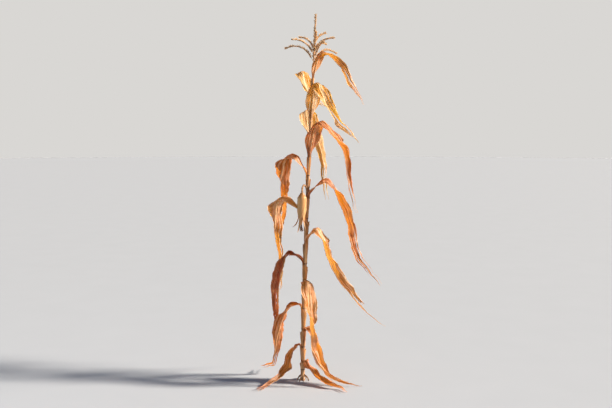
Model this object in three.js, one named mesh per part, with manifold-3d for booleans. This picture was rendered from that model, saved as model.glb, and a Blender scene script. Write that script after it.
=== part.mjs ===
// A dried maize plant, rooted: millimetres, +Z up, origin at the flat cut of the stalk at ground level.
// +X is the side that the wind has swept the blades towards, and -Y faces the viewer.
import * as THREE from 'three';
import { mergeVertices } from 'three/addons/utils/BufferGeometryUtils.js';
import Module from 'manifold-3d';

const wasm = await Module();
wasm.setup();

// Clearance between pieces that touch on the real plant.
const GAP = 0.3;

// Stalk: a jointed cane. Its internodes lengthen from the foot upwards and shorten a little at the top.
const STALK_TOP = 1860;
const STALK_FOOT_RADIUS = 12.5;
const STALK_TIP_RADIUS = 4;
const STALK_TAPER = 1.6;
const STALK_LEAN = 62;
const STALK_LEAN_POWER = 1.5;
const STALK_SIDES = 12;
const FOOT_FLARE = 2.5;
const FOOT_FLARE_HEIGHT = 16;
const STEM_NODES = 16;
const SHORT_INTERNODE = 30;
const INTERNODE_GROWTH = 104;
const INTERNODES_GROW_TO = 7;
const UPPER_FROM = 10;
const UPPER_SHORTENING = 5;
const NODE_SWELL = 1.8;
const NODE_HALF_HEIGHT = 6;

// Brace roots: short props from the lowest stem node that make the flare at the ground.
const ROOT_COUNT = 9;
const ROOT_RISE = 34;
const ROOT_REACH = 26;
const ROOT_RADIUS = 3.4;
const ROOT_THINNING = 0.3;
const ROOT_SPANS = 5;
const ROOT_SIDES = 6;
const CUT_DEPTH = 6;
const SOIL_SIDE = 400;

// Leaves: each is a sheath round the stalk and a long blade that rises from the sheath's mouth.
const SEED = 5;
const FIRST_LEAF = 2;
const LONGEST_BLADE = 900;
const BLADE_SHORTENING = 520;
const WIDEST_BLADE = 100;
const BLADE_NARROWING = 34;
const LARGEST_AT = 10;
const LARGEST_SPAN = 8;
const RANK_TURN = -40;
const RANK_WOBBLE = 40;
const SHEATH_WALL = 1.6;
const SHEATH_LOOSE = 4;
const SHEATH_WRAP = 158;
const SHEATH_ABOVE_NODE = 7;
const SHEATH_BELOW_NODE = 10;
const SHEATH_ROW = 30;
const SHEATH_COLUMNS = 11;
const TOP_SHEATH = 120;
const COLLAR_WRAP = 75;
const COLLAR_THICKNESS = 2.6;
const RIB_SHARE_OF_LENGTH = 0.0101;
const EDGE_THICKNESS = 2.6;
const TIP_THICKNESS = 1.6;
const TIP_WIDTH_SHARE = 0.05;
const STEEPEST_FALL = -88;
const STEEPEST_RISE = 80;
const LYING_HEIGHT = 16;
const LYING_BEND = 95;
const KINK_OVER = 0.06;
const SPLIT_FROM = 0.12;
const STEPS = 96;
const STEPS_PER_SECTION = 4;
const COLUMNS = 5;
const CLEARANCE = 17;
const GROUND_CLEARANCE = 5;
const TESTED_FROM = 0.12;
const TRIES = 60;

// Ear: it stands in the axil of one leaf and hangs nose down from a bent shank.
const EAR_LEAF = 11;
const EAR_ABOVE_NODE = 44;
const EAR_SIDE_WRAP = 40;
const EAR_LENGTH = 185;
const EAR_RADIUS = 24;
const EAR_SWING = 10;
const EAR_SPANS = 12;
const EAR_SIDES = 14;
const HUSK_TIPS = 5;
const HUSK_TIPS_FROM = 0.62;
const HUSK_TIP_STAGGER = 0.04;
const HUSK_TIP_LENGTH = 88;
const HUSK_TIP_WIDTH = 19;
const HUSK_TIP_SPANS = 6;
const HUSK_THICKNESS = 1.6;
const HUSK_ROOTED = 3;
const SILK_LOCKS = 5;
const SILK_LENGTH = 38;
const SILK_SPREAD = 11;
const SILK_RADIUS = 2;
const SILK_SPANS = 5;
const SHANK_RADIUS = 6;
const SHANK_LENGTH = 96;
const SHANK_CLIMB = 55;
const SHANK_SPANS = 9;
const SHANK_SIDES = 8;

// Tassel: a stiff spike, with branches that spread from its lower part.
const TASSEL_LENGTH = 292;
const TASSEL_RADIUS = 3.6;
const TASSEL_SPANS = 10;
const TASSEL_SIDES = 6;
const BRANCHES = 9;
const BRANCH_LENGTH = 205;
const BRANCH_SHORTENING = 0.4;
const BRANCH_SPANS = 8;
const BRANCHES_FROM = 14;
const BRANCHES_OVER = 100;

// Leaves on a spiral stand this many degrees from one to the next.
const GOLDEN_TURN = 137.5;

const COLOURS = {
  stalk: '#8a6a48',
  sheath: '#c49a68',
  blade: '#be7a46',
  husk: '#cfa878',
  silk: '#4d2a14',
  tassel: '#b98d5c',
};

const radians = THREE.MathUtils.degToRad;
const degrees = THREE.MathUtils.radToDeg;
const mix = THREE.MathUtils.lerp;
const clamp = THREE.MathUtils.clamp;
const smooth = (x) => THREE.MathUtils.smoothstep(x, 0, 1);

// A repeatable value from 0 to 1 for a leaf, a try and a slot.
function chance(leaf, attempt, slot) {
  const x = Math.sin(leaf * 12.9898 + attempt * 78.233 + slot * 37.719 + SEED) * 43758.5453;
  return x - Math.floor(x);
}

function outward(turn) {
  return new THREE.Vector3(Math.cos(turn), Math.sin(turn), 0);
}

function heading(climb, turn) {
  return outward(turn).multiplyScalar(Math.cos(climb)).setZ(Math.sin(climb));
}

// Closed bodies from points and faces, and the way to manifold-3d and back.
function meshFrom(points, faces) {
  const geometry = new THREE.BufferGeometry();
  geometry.setAttribute('position', new THREE.Float32BufferAttribute(points.flatMap((p) => p.toArray()), 3));
  geometry.setIndex(faces.flat());
  return geometry;
}

// Each loop's first half is its top side from left to right, and its second half the underside from
// right to left, so the end caps are strips between the two.
function stripBody(loops) {
  const size = loops[0].length;
  const half = size / 2;
  const faces = [];
  for (let k = 0; k + 1 < loops.length; k += 1) {
    for (let j = 0; j < size; j += 1) {
      const a = k * size + j;
      const b = k * size + ((j + 1) % size);
      faces.push([a, b + size, b], [a, a + size, b + size]);
    }
  }
  const last = (loops.length - 1) * size;
  for (let j = 0; j + 1 < half; j += 1) {
    const low = size - 1 - j;
    faces.push([j, j + 1, low], [j + 1, low - 1, low]);
    faces.push([last + j, last + low, last + j + 1], [last + j + 1, last + low, last + low - 1]);
  }
  return meshFrom(loops.flat(), faces);
}

// Each ring runs anticlockwise about the way from ring to ring.
function ringBody(rings) {
  const size = rings[0].length;
  const faces = [];
  for (let k = 0; k + 1 < rings.length; k += 1) {
    for (let j = 0; j < size; j += 1) {
      const a = k * size + j;
      const b = k * size + ((j + 1) % size);
      faces.push([a, b, b + size], [a, b + size, a + size]);
    }
  }
  const last = (rings.length - 1) * size;
  for (let j = 1; j + 1 < size; j += 1) {
    faces.push([0, j + 1, j], [last, last + j, last + j + 1]);
  }
  return meshFrom(rings.flat(), faces);
}

// A tapering rod through a list of points, with one radius for each point.
function rod(path, radii, sides) {
  const rings = path.map((point, k) => {
    const ahead = path[Math.min(k + 1, path.length - 1)];
    const behind = path[Math.max(k - 1, 0)];
    const along = ahead.clone().sub(behind).normalize();
    const helper = Math.abs(along.z) > 0.9 ? new THREE.Vector3(1, 0, 0) : new THREE.Vector3(0, 0, 1);
    const side = helper.clone().cross(along).normalize();
    const up = along.clone().cross(side);
    return Array.from({ length: sides }, (_, j) => {
      const turn = (2 * Math.PI * j) / sides;
      return point.clone()
        .addScaledVector(side, radii[k] * Math.cos(turn))
        .addScaledVector(up, radii[k] * Math.sin(turn));
    });
  });
  return ringBody(rings);
}

function toSolid(geometry) {
  const merged = mergeVertices(geometry, 1e-4);
  return new wasm.Manifold(new wasm.Mesh({
    numProp: 3,
    vertProperties: Float32Array.from(merged.attributes.position.array),
    triVerts: Uint32Array.from(merged.index.array),
  }));
}

function fromSolid(solid) {
  const mesh = solid.getMesh();
  const geometry = new THREE.BufferGeometry();
  geometry.setAttribute('position', new THREE.BufferAttribute(Float32Array.from(mesh.vertProperties), 3));
  geometry.setIndex(new THREE.BufferAttribute(Uint32Array.from(mesh.triVerts), 1));
  return geometry;
}

function fuse(geometries) {
  return fromSolid(geometries.map(toSolid).reduce((whole, piece) => whole.add(piece)));
}

// Stalk.
function internode(n) {
  const growth = INTERNODE_GROWTH * smooth((n - 1) / (INTERNODES_GROW_TO - 1));
  return SHORT_INTERNODE + growth - UPPER_SHORTENING * Math.max(0, n - UPPER_FROM);
}

function nodeHeight(n) {
  let height = 0;
  for (let k = 1; k <= n; k += 1) height += internode(k);
  return height;
}

// The axis is upright at the ground and leans down the wind higher up.
function axisPoint(z) {
  return new THREE.Vector3(STALK_LEAN * (z / STALK_TOP) ** STALK_LEAN_POWER, 0, z);
}

function stalkRadius(z) {
  return mix(STALK_FOOT_RADIUS, STALK_TIP_RADIUS, (z / STALK_TOP) ** STALK_TAPER);
}

function stalkRing(z, radius) {
  return Array.from({ length: STALK_SIDES }, (_, j) => (
    axisPoint(z).addScaledVector(outward((2 * Math.PI * j) / STALK_SIDES), radius)
  ));
}

function cane() {
  const rings = [
    stalkRing(0, stalkRadius(0) + FOOT_FLARE),
    stalkRing(FOOT_FLARE_HEIGHT, stalkRadius(FOOT_FLARE_HEIGHT)),
  ];
  for (let n = 1; n <= STEM_NODES; n += 1) {
    const z = nodeHeight(n);
    rings.push(stalkRing(z - NODE_HALF_HEIGHT, stalkRadius(z)));
    rings.push(stalkRing(z, stalkRadius(z) + NODE_SWELL));
    rings.push(stalkRing(z + NODE_HALF_HEIGHT, stalkRadius(z)));
  }
  rings.push(stalkRing(STALK_TOP, stalkRadius(STALK_TOP)));
  return ringBody(rings);
}

function braceRoot(k) {
  const out = outward(radians(GOLDEN_TURN * k));
  const reach = ROOT_REACH * mix(0.8, 1.15, chance(k, 0, 50));
  const rise = ROOT_RISE * mix(0.7, 1.1, chance(k, 0, 51));
  const inside = STALK_FOOT_RADIUS / 2;
  const path = [];
  for (let j = 0; j <= ROOT_SPANS; j += 1) {
    const share = j / ROOT_SPANS;
    const radial = inside + (inside + reach) * Math.sin(share * Math.PI / 2);
    path.push(out.clone().multiplyScalar(radial).setZ(mix(rise, -CUT_DEPTH, share ** 1.7)));
  }
  return rod(path, path.map((_, j) => ROOT_RADIUS * (1 - ROOT_THINNING * j / ROOT_SPANS)), ROOT_SIDES);
}

function stalk() {
  const roots = Array.from({ length: ROOT_COUNT }, (_, k) => toSolid(braceRoot(k)));
  const whole = roots.reduce((sum, root) => sum.add(root), toSolid(cane()));
  const soil = new THREE.BoxGeometry(SOIL_SIDE, SOIL_SIDE, SOIL_SIDE).translate(0, 0, -SOIL_SIDE / 2);
  soil.deleteAttribute('normal');
  soil.deleteAttribute('uv');
  return fromSolid(whole.subtract(toSolid(soil)));
}

// Leaves. The two ranks stand on opposite sides of the stalk, with a wobble about it.
function leafTurn(n) {
  return RANK_TURN + 180 * (n % 2) + RANK_WOBBLE * (2 * chance(n, 0, 1) - 1);
}

// How long and wide one leaf is, and how it stands, bends, falls, turns and curls. Angles are in
// degrees, and places along the blade are shares of its length.
function leafHabit(n, attempt) {
  const height = (n - FIRST_LEAF) / (STEM_NODES - FIRST_LEAF);
  const fromLargest = Math.abs((n - LARGEST_AT) / LARGEST_SPAN);
  const pick = (slot, low, high) => mix(low, high, chance(n, attempt, slot));
  const besideEar = n === EAR_LEAF || n === EAR_LEAF - 1;
  const turn = leafTurn(n) + (besideEar ? 0 : pick(1, -12, 12));
  const downwind = ((540 - turn) % 360) - 180;
  return {
    n,
    turn,
    length: LONGEST_BLADE - BLADE_SHORTENING * fromLargest ** 1.7,
    width: WIDEST_BLADE - BLADE_NARROWING * fromLargest ** 1.5,
    sweep: downwind * pick(2, 0.5, 0.8) * mix(0.45, 1.05, height),
    rise: mix(42, 72, height) + pick(3, -8, 8),
    bendAt: mix(0.06, 0.32, height) * pick(4, 0.8, 1.2),
    bendOver: pick(5, 0.06, 0.24),
    fall: mix(-86, -44, height ** 1.6) + pick(6, -4, 10),
    waver: pick(7, 0, 1),
    kinkAt: pick(8, 0.5, 0.8),
    kink: pick(9, -30, 34),
    kinkTurn: pick(10, -45, 45),
    twist: pick(11, 45, 140) * (chance(n, attempt, 16) < 0.5 ? -1 : 1),
    fold: pick(12, 0.35, 0.75),
    roll: pick(13, 1, 1.9),
    ruffle: pick(14, 3, 6),
    ruffleLength: pick(15, 120, 170),
  };
}

function collarHeight(n) {
  return n < STEM_NODES ? nodeHeight(n + 1) - SHEATH_BELOW_NODE : nodeHeight(n) + TOP_SHEATH;
}

function collarRadius(n) {
  return stalkRadius(collarHeight(n)) + SHEATH_LOOSE + SHEATH_WALL / 2;
}

// The blade's climb above the level: out of the sheath upright, up, over the bend, down, and level
// again where it comes to lie on the ground.
function bladeClimb(habit, s, z) {
  const bend = smooth((s - habit.bendAt) / habit.bendOver + 0.5);
  const kink = habit.kink * smooth((s - habit.kinkAt) / KINK_OVER + 0.5);
  const waver = 7 * smooth(s / 0.15) * Math.sin(2 * Math.PI * (2.2 * s + habit.waver));
  const free = clamp(mix(habit.rise, habit.fall, bend) + kink + waver, STEEPEST_FALL, STEEPEST_RISE);
  const lowest = -degrees(Math.asin(clamp((z - LYING_HEIGHT) / LYING_BEND, 0, 1)));
  return radians(Math.max(mix(90, free, smooth(s / 0.045)), lowest));
}

function bladeTurn(habit, s) {
  const sweep = habit.sweep * smooth((s - 0.05) / 0.6);
  const kink = habit.kinkTurn * smooth((s - habit.kinkAt) / KINK_OVER + 0.5);
  const waver = 9 * smooth(s / 0.15) * Math.sin(2 * Math.PI * (1.4 * s + 3 * habit.waver));
  return radians(habit.turn + sweep + kink + waver);
}

// Walks along the blade's midrib in equal steps and keeps the frame at each step.
function midrib(habit) {
  const collar = axisPoint(collarHeight(habit.n) + GAP);
  const point = collar.addScaledVector(outward(radians(habit.turn)), collarRadius(habit.n));
  const frames = [];
  for (let k = 0; k <= STEPS; k += 1) {
    const s = k / STEPS;
    const turn = bladeTurn(habit, s);
    const along = heading(bladeClimb(habit, s, point.z), turn);
    const level = outward(turn + Math.PI / 2);
    const face = along.clone().cross(level);
    const hanging = smooth((point.z - LYING_HEIGHT) / LYING_BEND);
    const roll = radians(habit.twist * smooth((s - habit.bendAt) / 0.75) * hanging);
    const side = level.clone().multiplyScalar(Math.cos(roll)).addScaledVector(face, Math.sin(roll));
    const up = face.clone().multiplyScalar(Math.cos(roll)).addScaledVector(level, -Math.sin(roll));
    frames.push({ s, point: point.clone(), along, side, up });
    point.addScaledVector(along, habit.length / STEPS);
  }
  return frames;
}

function halfWidth(habit, s) {
  const collar = collarRadius(habit.n) * radians(COLLAR_WRAP);
  const swell = mix(collar, habit.width / 2, smooth(s / 0.24));
  const taper = s < 0.3 ? 1 : 1 - ((s - 0.3) / 0.7) ** 1.9;
  return swell * Math.max(taper, TIP_WIDTH_SHARE);
}

// The half angle of the arc that the blade's section is curled to: it hugs the stalk at the collar,
// lies flatter at the bend, and rolls up towards the tip.
function curl(habit, s) {
  const folded = mix(habit.fold, habit.roll, smooth((s - 0.35) / 0.65));
  const flat = 0.7 * Math.exp(-(((s - habit.bendAt) / (0.6 * habit.bendOver)) ** 2));
  return mix(radians(COLLAR_WRAP), folded * (1 - flat), smooth(s / 0.1));
}

function thickness(habit, s, across) {
  const rib = mix(COLLAR_THICKNESS, habit.length * RIB_SHARE_OF_LENGTH, smooth(s / 0.1));
  const middle = mix(rib, TIP_THICKNESS, smooth((s - 0.55) / 0.45));
  return mix(middle, Math.min(EDGE_THICKNESS, middle), Math.abs(across));
}

// A point of the blade's middle surface, or one lifted off it. Across runs from -1 to 1.
function bladePoint(habit, frame, across, lift) {
  const arc = curl(habit, frame.s);
  const radius = halfWidth(habit, frame.s) / arc;
  const waves = frame.s * habit.length / habit.ruffleLength + habit.waver + 0.3 * Math.sign(across);
  const free = smooth((frame.s - 0.12) / 0.2) * smooth((1 - frame.s) / 0.3);
  const ruffle = habit.ruffle * across * across * free * Math.sin(2 * Math.PI * waves);
  return frame.point.clone()
    .addScaledVector(frame.side, (radius - lift) * Math.sin(across * arc))
    .addScaledVector(frame.up, radius - (radius - lift) * Math.cos(across * arc) + ruffle);
}

function columnPlace(j) {
  return (2 * j) / (COLUMNS - 1) - 1;
}

function bladeSamples(habit, frames) {
  return frames.flatMap((frame) => (
    Array.from({ length: COLUMNS }, (_, j) => bladePoint(habit, frame, columnPlace(j), 0))
  ));
}

function isClear(samples, taken) {
  const tested = samples.slice(Math.round(TESTED_FROM * STEPS) * COLUMNS);
  return tested.every((p) => p.z >= GROUND_CLEARANCE
    && taken.every((q) => Math.abs(p.z - q.z) > CLEARANCE || p.distanceToSquared(q) > CLEARANCE ** 2));
}

// Leaves are placed from the foot upwards. Each tries one habit after another until its blade is clear
// of what is there already.
function growLeaves(taken) {
  const leaves = [];
  for (let n = FIRST_LEAF; n <= STEM_NODES; n += 1) {
    for (let attempt = 0; attempt < TRIES; attempt += 1) {
      const habit = leafHabit(n, attempt);
      const frames = midrib(habit);
      const samples = bladeSamples(habit, frames);
      if (isClear(samples, taken)) {
        leaves.push({ habit, frames });
        taken.push(...samples);
        break;
      }
    }
  }
  return leaves;
}

function bladeBody(habit, frames, startsAtCut) {
  const loops = frames.map((frame, k) => {
    const shift = startsAtCut && k === 0 ? GAP : 0;
    return Array.from({ length: 2 * COLUMNS }, (_, j) => {
      const onTop = j < COLUMNS;
      const across = columnPlace(onTop ? j : 2 * COLUMNS - 1 - j);
      const lift = (onTop ? 0.5 : -0.5) * thickness(habit, frame.s, across);
      return bladePoint(habit, frame, across, lift).addScaledVector(frame.along, shift);
    });
  });
  return stripBody(loops);
}

// The sheath is a sleeve that is slit down the side away from its blade. The ear's sheath stands open
// on the side where the ear comes out.
function sheathBody(habit) {
  const { n, turn } = habit;
  const openTo = n === EAR_LEAF ? EAR_SIDE_WRAP : SHEATH_WRAP;
  const from = nodeHeight(n) + SHEATH_ABOVE_NODE;
  const to = collarHeight(n);
  const rows = Math.max(3, Math.round((to - from) / SHEATH_ROW));
  const facetReach = 1 / Math.cos(radians(SHEATH_WRAP) / (SHEATH_COLUMNS - 1));
  const loops = [];
  for (let k = 0; k <= rows; k += 1) {
    const z = mix(from, to, k / rows);
    const inner = (stalkRadius(z) + mix(GAP, SHEATH_LOOSE, k / rows)) * facetReach;
    loops.push(Array.from({ length: 2 * SHEATH_COLUMNS }, (_, j) => {
      const isInner = j < SHEATH_COLUMNS;
      const place = (isInner ? j : 2 * SHEATH_COLUMNS - 1 - j) / (SHEATH_COLUMNS - 1);
      const out = outward(radians(turn + mix(-SHEATH_WRAP, openTo, place)));
      return axisPoint(z).addScaledVector(out, isInner ? inner : inner + SHEATH_WALL);
    }));
  }
  return stripBody(loops);
}

// Ear. Its shank comes out between the open edge of its own sheath and the blade below.
function earTurn() {
  const sheathEdge = leafTurn(EAR_LEAF) + EAR_SIDE_WRAP;
  const bladeEdge = leafTurn(EAR_LEAF - 1) + 360 - COLLAR_WRAP;
  return radians((sheathEdge + bladeEdge) / 2);
}

function shankPath() {
  const z = nodeHeight(EAR_LEAF) + EAR_ABOVE_NODE;
  const turn = earTurn();
  const firstClimb = radians(SHANK_CLIMB);
  const start = stalkRadius(z) + GAP + SHANK_RADIUS * Math.sin(firstClimb);
  const point = axisPoint(z).addScaledVector(outward(turn), start);
  const path = [];
  for (let k = 0; k <= SHANK_SPANS; k += 1) {
    path.push(point.clone());
    const climb = mix(firstClimb, -Math.PI / 2, smooth(k / (SHANK_SPANS - 1)));
    point.addScaledVector(heading(climb, turn), SHANK_LENGTH / SHANK_SPANS);
  }
  return path;
}

function earPath() {
  const top = shankPath().at(-1);
  const out = outward(earTurn());
  const path = [];
  for (let k = 0; k <= EAR_SPANS; k += 1) {
    const share = k / EAR_SPANS;
    path.push(top.clone().addScaledVector(out, EAR_SWING * share).setZ(top.z - GAP - EAR_LENGTH * share));
  }
  return path;
}

function earRadius(share) {
  const shoulder = mix(0.34, 1, smooth(share / 0.18));
  const nose = 1 - 0.86 * smooth((share - 0.45) / 0.55) ** 1.4;
  return EAR_RADIUS * shoulder * nose;
}

// Dry husk leaves stand away from the ear's nose as narrow pointed blades.
function huskTip(k) {
  const path = earPath();
  const turn = radians(GOLDEN_TURN * k + 40);
  const out = outward(turn);
  const level = outward(turn + Math.PI / 2);
  const from = HUSK_TIPS_FROM + HUSK_TIP_STAGGER * k;
  const lastClimb = mix(-70, -25, chance(k, 0, 70));
  const point = path.at(0).clone().lerp(path.at(-1), from).addScaledVector(out, earRadius(from) - HUSK_ROOTED);
  const loops = [];
  for (let j = 0; j <= HUSK_TIP_SPANS; j += 1) {
    const share = j / HUSK_TIP_SPANS;
    const half = HUSK_TIP_WIDTH / 2 * (1 - 0.85 * share ** 1.5);
    const climb = radians(mix(-88, lastClimb, smooth(share * 1.1)));
    const face = heading(climb + Math.PI / 2, turn);
    loops.push([[-1, 1], [0, 1], [1, 1], [1, -1], [0, -1], [-1, -1]].map(([across, up]) => point.clone()
      .addScaledVector(level, across * half)
      .addScaledVector(face, up * HUSK_THICKNESS / 2 - HUSK_ROOTED * across * across * (1 - share))));
    point.addScaledVector(heading(climb, turn), HUSK_TIP_LENGTH / HUSK_TIP_SPANS);
  }
  return stripBody(loops);
}

function earBody() {
  const path = earPath();
  const core = rod(path, path.map((_, k) => earRadius(k / EAR_SPANS)), EAR_SIDES);
  return fuse([core, ...Array.from({ length: HUSK_TIPS }, (_, k) => huskTip(k))]);
}

function silkTuft() {
  const nose = earPath().at(-1).clone().add(new THREE.Vector3(0, 0, -2 * GAP));
  const locks = Array.from({ length: SILK_LOCKS }, (_, k) => {
    const turn = radians(GOLDEN_TURN * k);
    const path = [];
    for (let j = 0; j <= SILK_SPANS; j += 1) {
      const share = j / SILK_SPANS;
      const spread = 1.2 + SILK_SPREAD * share ** 1.4 * mix(0.3, 1, k / SILK_LOCKS);
      const drop = SILK_LENGTH * share * mix(1, 0.75, k / SILK_LOCKS);
      path.push(nose.clone().addScaledVector(outward(turn + share), spread).add(new THREE.Vector3(0, 0, -drop)));
    }
    return rod(path, path.map((_, j) => SILK_RADIUS * (1 - 0.55 * j / SILK_SPANS)), 6);
  });
  return fuse(locks);
}

// Tassel.
function tasselLean() {
  return axisPoint(STALK_TOP).sub(axisPoint(STALK_TOP - 50)).normalize();
}

function tasselSpike() {
  const foot = axisPoint(STALK_TOP).add(new THREE.Vector3(0, 0, GAP));
  return Array.from({ length: TASSEL_SPANS + 1 }, (_, k) => (
    foot.clone().addScaledVector(tasselLean(), TASSEL_LENGTH * k / TASSEL_SPANS)
  ));
}

function tasselBranch(b) {
  const share = b / (BRANCHES - 1);
  const length = BRANCH_LENGTH * (1 - BRANCH_SHORTENING * share) * mix(0.85, 1.1, chance(b, 0, 60));
  const point = tasselSpike()[0].addScaledVector(tasselLean(), BRANCHES_FROM + BRANCHES_OVER * share);
  const path = [];
  for (let k = 0; k <= BRANCH_SPANS; k += 1) {
    path.push(point.clone());
    const climb = radians(mix(62, mix(-25, 20, share), smooth(k / BRANCH_SPANS)));
    const turn = radians(GOLDEN_TURN * b + 20 + 18 * Math.sin(k / 3 + b));
    point.addScaledVector(heading(climb, turn), length / BRANCH_SPANS);
  }
  return path;
}

function tasselPaths() {
  return [tasselSpike(), ...Array.from({ length: BRANCHES }, (_, b) => tasselBranch(b))];
}

function tassel() {
  const rods = tasselPaths().map((path, b) => {
    const radius = TASSEL_RADIUS * (b === 0 ? 1 : 0.72);
    return rod(path, path.map((_, k) => radius * (1 - 0.5 * k / (path.length - 1))), TASSEL_SIDES);
  });
  return fuse(rods);
}

// Points on the stalk, the ear and the tassel that blades keep clear of.
function keepOut() {
  const taken = tasselPaths().flat();
  for (let z = 10; z < STALK_TOP; z += 12) taken.push(...stalkRing(z, stalkRadius(z)));
  earPath().forEach((point, k) => {
    for (let j = 0; j < 12; j += 1) {
      taken.push(point.clone().addScaledVector(outward(Math.PI * j / 6), earRadius(k / EAR_SPANS)));
    }
  });
  return taken;
}

function add(group, name, geometry, colour) {
  const material = new THREE.MeshStandardMaterial({ color: colour, roughness: 0.75, metalness: 0 });
  const mesh = new THREE.Mesh(geometry, material);
  mesh.name = name;
  group.add(mesh);
}

// A blade that goes over a wide gap is split where it bends.
function addLeaf(group, { habit, frames }) {
  const name = `leaf_${String(habit.n).padStart(2, '0')}`;
  const sections = frames.filter((_, k) => k % STEPS_PER_SECTION === 0);
  const cut = Math.round(habit.bendAt * STEPS / STEPS_PER_SECTION);
  add(group, `${name}_sheath`, sheathBody(habit), COLOURS.sheath);
  if (habit.bendAt < SPLIT_FROM) {
    add(group, `${name}_blade`, bladeBody(habit, sections, false), COLOURS.blade);
  } else {
    add(group, `${name}_rise`, bladeBody(habit, sections.slice(0, cut + 1), false), COLOURS.blade);
    add(group, `${name}_fall`, bladeBody(habit, sections.slice(cut), true), COLOURS.blade);
  }
}

const plant = new THREE.Group();
add(plant, 'stalk', stalk(), COLOURS.stalk);
growLeaves(keepOut()).forEach((leaf) => addLeaf(plant, leaf));
add(plant, 'ear_shank', rod(shankPath(), shankPath().map(() => SHANK_RADIUS), SHANK_SIDES), COLOURS.husk);
add(plant, 'ear', earBody(), COLOURS.husk);
add(plant, 'ear_silk', silkTuft(), COLOURS.silk);
add(plant, 'tassel', tassel(), COLOURS.tassel);
export default plant;
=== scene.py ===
import math

import bpy
import numpy as np
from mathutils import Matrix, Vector


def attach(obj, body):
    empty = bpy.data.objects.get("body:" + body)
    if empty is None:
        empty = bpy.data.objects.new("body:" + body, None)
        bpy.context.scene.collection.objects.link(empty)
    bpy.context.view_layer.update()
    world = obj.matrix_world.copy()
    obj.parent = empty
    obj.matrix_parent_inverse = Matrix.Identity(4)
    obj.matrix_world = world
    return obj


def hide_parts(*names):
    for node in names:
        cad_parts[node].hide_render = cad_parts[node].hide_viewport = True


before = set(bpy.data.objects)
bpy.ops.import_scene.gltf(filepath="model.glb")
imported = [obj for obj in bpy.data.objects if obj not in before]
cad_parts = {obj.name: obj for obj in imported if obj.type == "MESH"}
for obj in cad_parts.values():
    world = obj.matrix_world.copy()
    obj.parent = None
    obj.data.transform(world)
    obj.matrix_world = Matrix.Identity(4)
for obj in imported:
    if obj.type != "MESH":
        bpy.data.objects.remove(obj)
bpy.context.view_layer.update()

# Stalk. A jointed cane with a hard ribbed rind over pith, dead and dried to a brown tan. Each joint is
# a swollen ring with a dark scar where a sheath was rooted, and a groove runs up the span above it. It
# stands on a flared foot, cut flat at the ground, and leans down the wind. Sizes are in millimetres.
STALK_TOP = 1860
STALK_FOOT_RADIUS = 12.5
STALK_TIP_RADIUS = 4
STALK_TAPER = 1.6
STALK_LEAN = 62
STALK_LEAN_POWER = 1.5
FOOT_FLARE = 2.5
FOOT_FLARE_HEIGHT = 16
STEM_NODES = 16
SHORT_INTERNODE = 30
INTERNODE_GROWTH = 104
INTERNODES_GROW_TO = 7
UPPER_FROM = 10
UPPER_SHORTENING = 5
NODE_SWELL = 1.8
NODE_SWELL_REACH = 3.3
NODE_PINCH = 1.0
NODE_PINCH_REACH = 0.9
NODE_PINCH_DROP = 1.6
SCAR_REACH = 2.2
SCAR_DROP = 1.2
CLEAR_FROM_NODE = 7
CLEAR_OVER = 20
STALK_SIDES = 96
STALK_STEP = 20
STALK_RIBS = 24
STALK_RIB_HEIGHT = 0.14
GROOVE_DEPTH = 0.13
GROOVE_HALF_WIDTH = 0.42
SEED = 5
MM = 0.001


def mix(low, high, share):
    return low + (high - low) * share


def smooth(share):
    share = np.clip(share, 0, 1)
    return share * share * (3 - 2 * share)


def hump(x, at, reach):
    """A smooth hump over x, one high."""
    return np.exp(-((x - at) / reach) ** 2)


def chance(leaf, attempt, slot):
    """A repeatable value from 0 to 1, the same as in the solids' own rule. Each use has its own slot."""
    x = math.sin(leaf * 12.9898 + attempt * 78.233 + slot * 37.719 + SEED) * 43758.5453
    return x - math.floor(x)


def outward(turn):
    turn = np.asarray(turn, float)
    return np.stack([np.cos(turn), np.sin(turn), 0 * turn], -1)


def node_height(n):
    spans = np.arange(1, n + 1)
    growth = INTERNODE_GROWTH * smooth((spans - 1) / (INTERNODES_GROW_TO - 1))
    return float(np.sum(SHORT_INTERNODE + growth - UPPER_SHORTENING * np.maximum(0, spans - UPPER_FROM)))


def axis_point(z):
    z = np.asarray(z, float)
    return np.stack([STALK_LEAN * (np.maximum(z, 0) / STALK_TOP) ** STALK_LEAN_POWER, 0 * z, z], -1)


def stalk_radius(z):
    return mix(STALK_FOOT_RADIUS, STALK_TIP_RADIUS, (np.maximum(z, 0) / STALK_TOP) ** STALK_TAPER)


# The two ranks of leaves stand on opposite sides of the stalk, with a wobble about it.
RANK_TURN = -40
RANK_WOBBLE = 40


def leaf_turn(n):
    return RANK_TURN + 180 * (n % 2) + RANK_WOBBLE * (2 * chance(n, 0, 1) - 1)


def net(rows, columns, closed=False):
    """Four-sided faces over rows of points; closed joins each row's last point to its first."""
    k, j = np.meshgrid(np.arange(rows - 1), np.arange(columns - (0 if closed else 1)), indexing="ij")
    ahead = (j + 1) % columns
    quads = [k * columns + j, k * columns + ahead, (k + 1) * columns + ahead, (k + 1) * columns + j]
    return np.stack(quads, -1).reshape(-1, 4)


def closed_tube(rings, foot, top):
    """Points and faces of a tube of rings, closed by a fan round the middle of either end."""
    rows, columns = rings.shape[:2]
    points = np.concatenate([rings.reshape(-1, 3), [foot, top]])
    faces = net(rows, columns, closed=True).tolist()
    last = (rows - 1) * columns
    for j in range(columns):
        ahead = (j + 1) % columns
        faces += [[len(points) - 2, ahead, j], [len(points) - 1, last + j, last + ahead]]
    return points, faces


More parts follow.
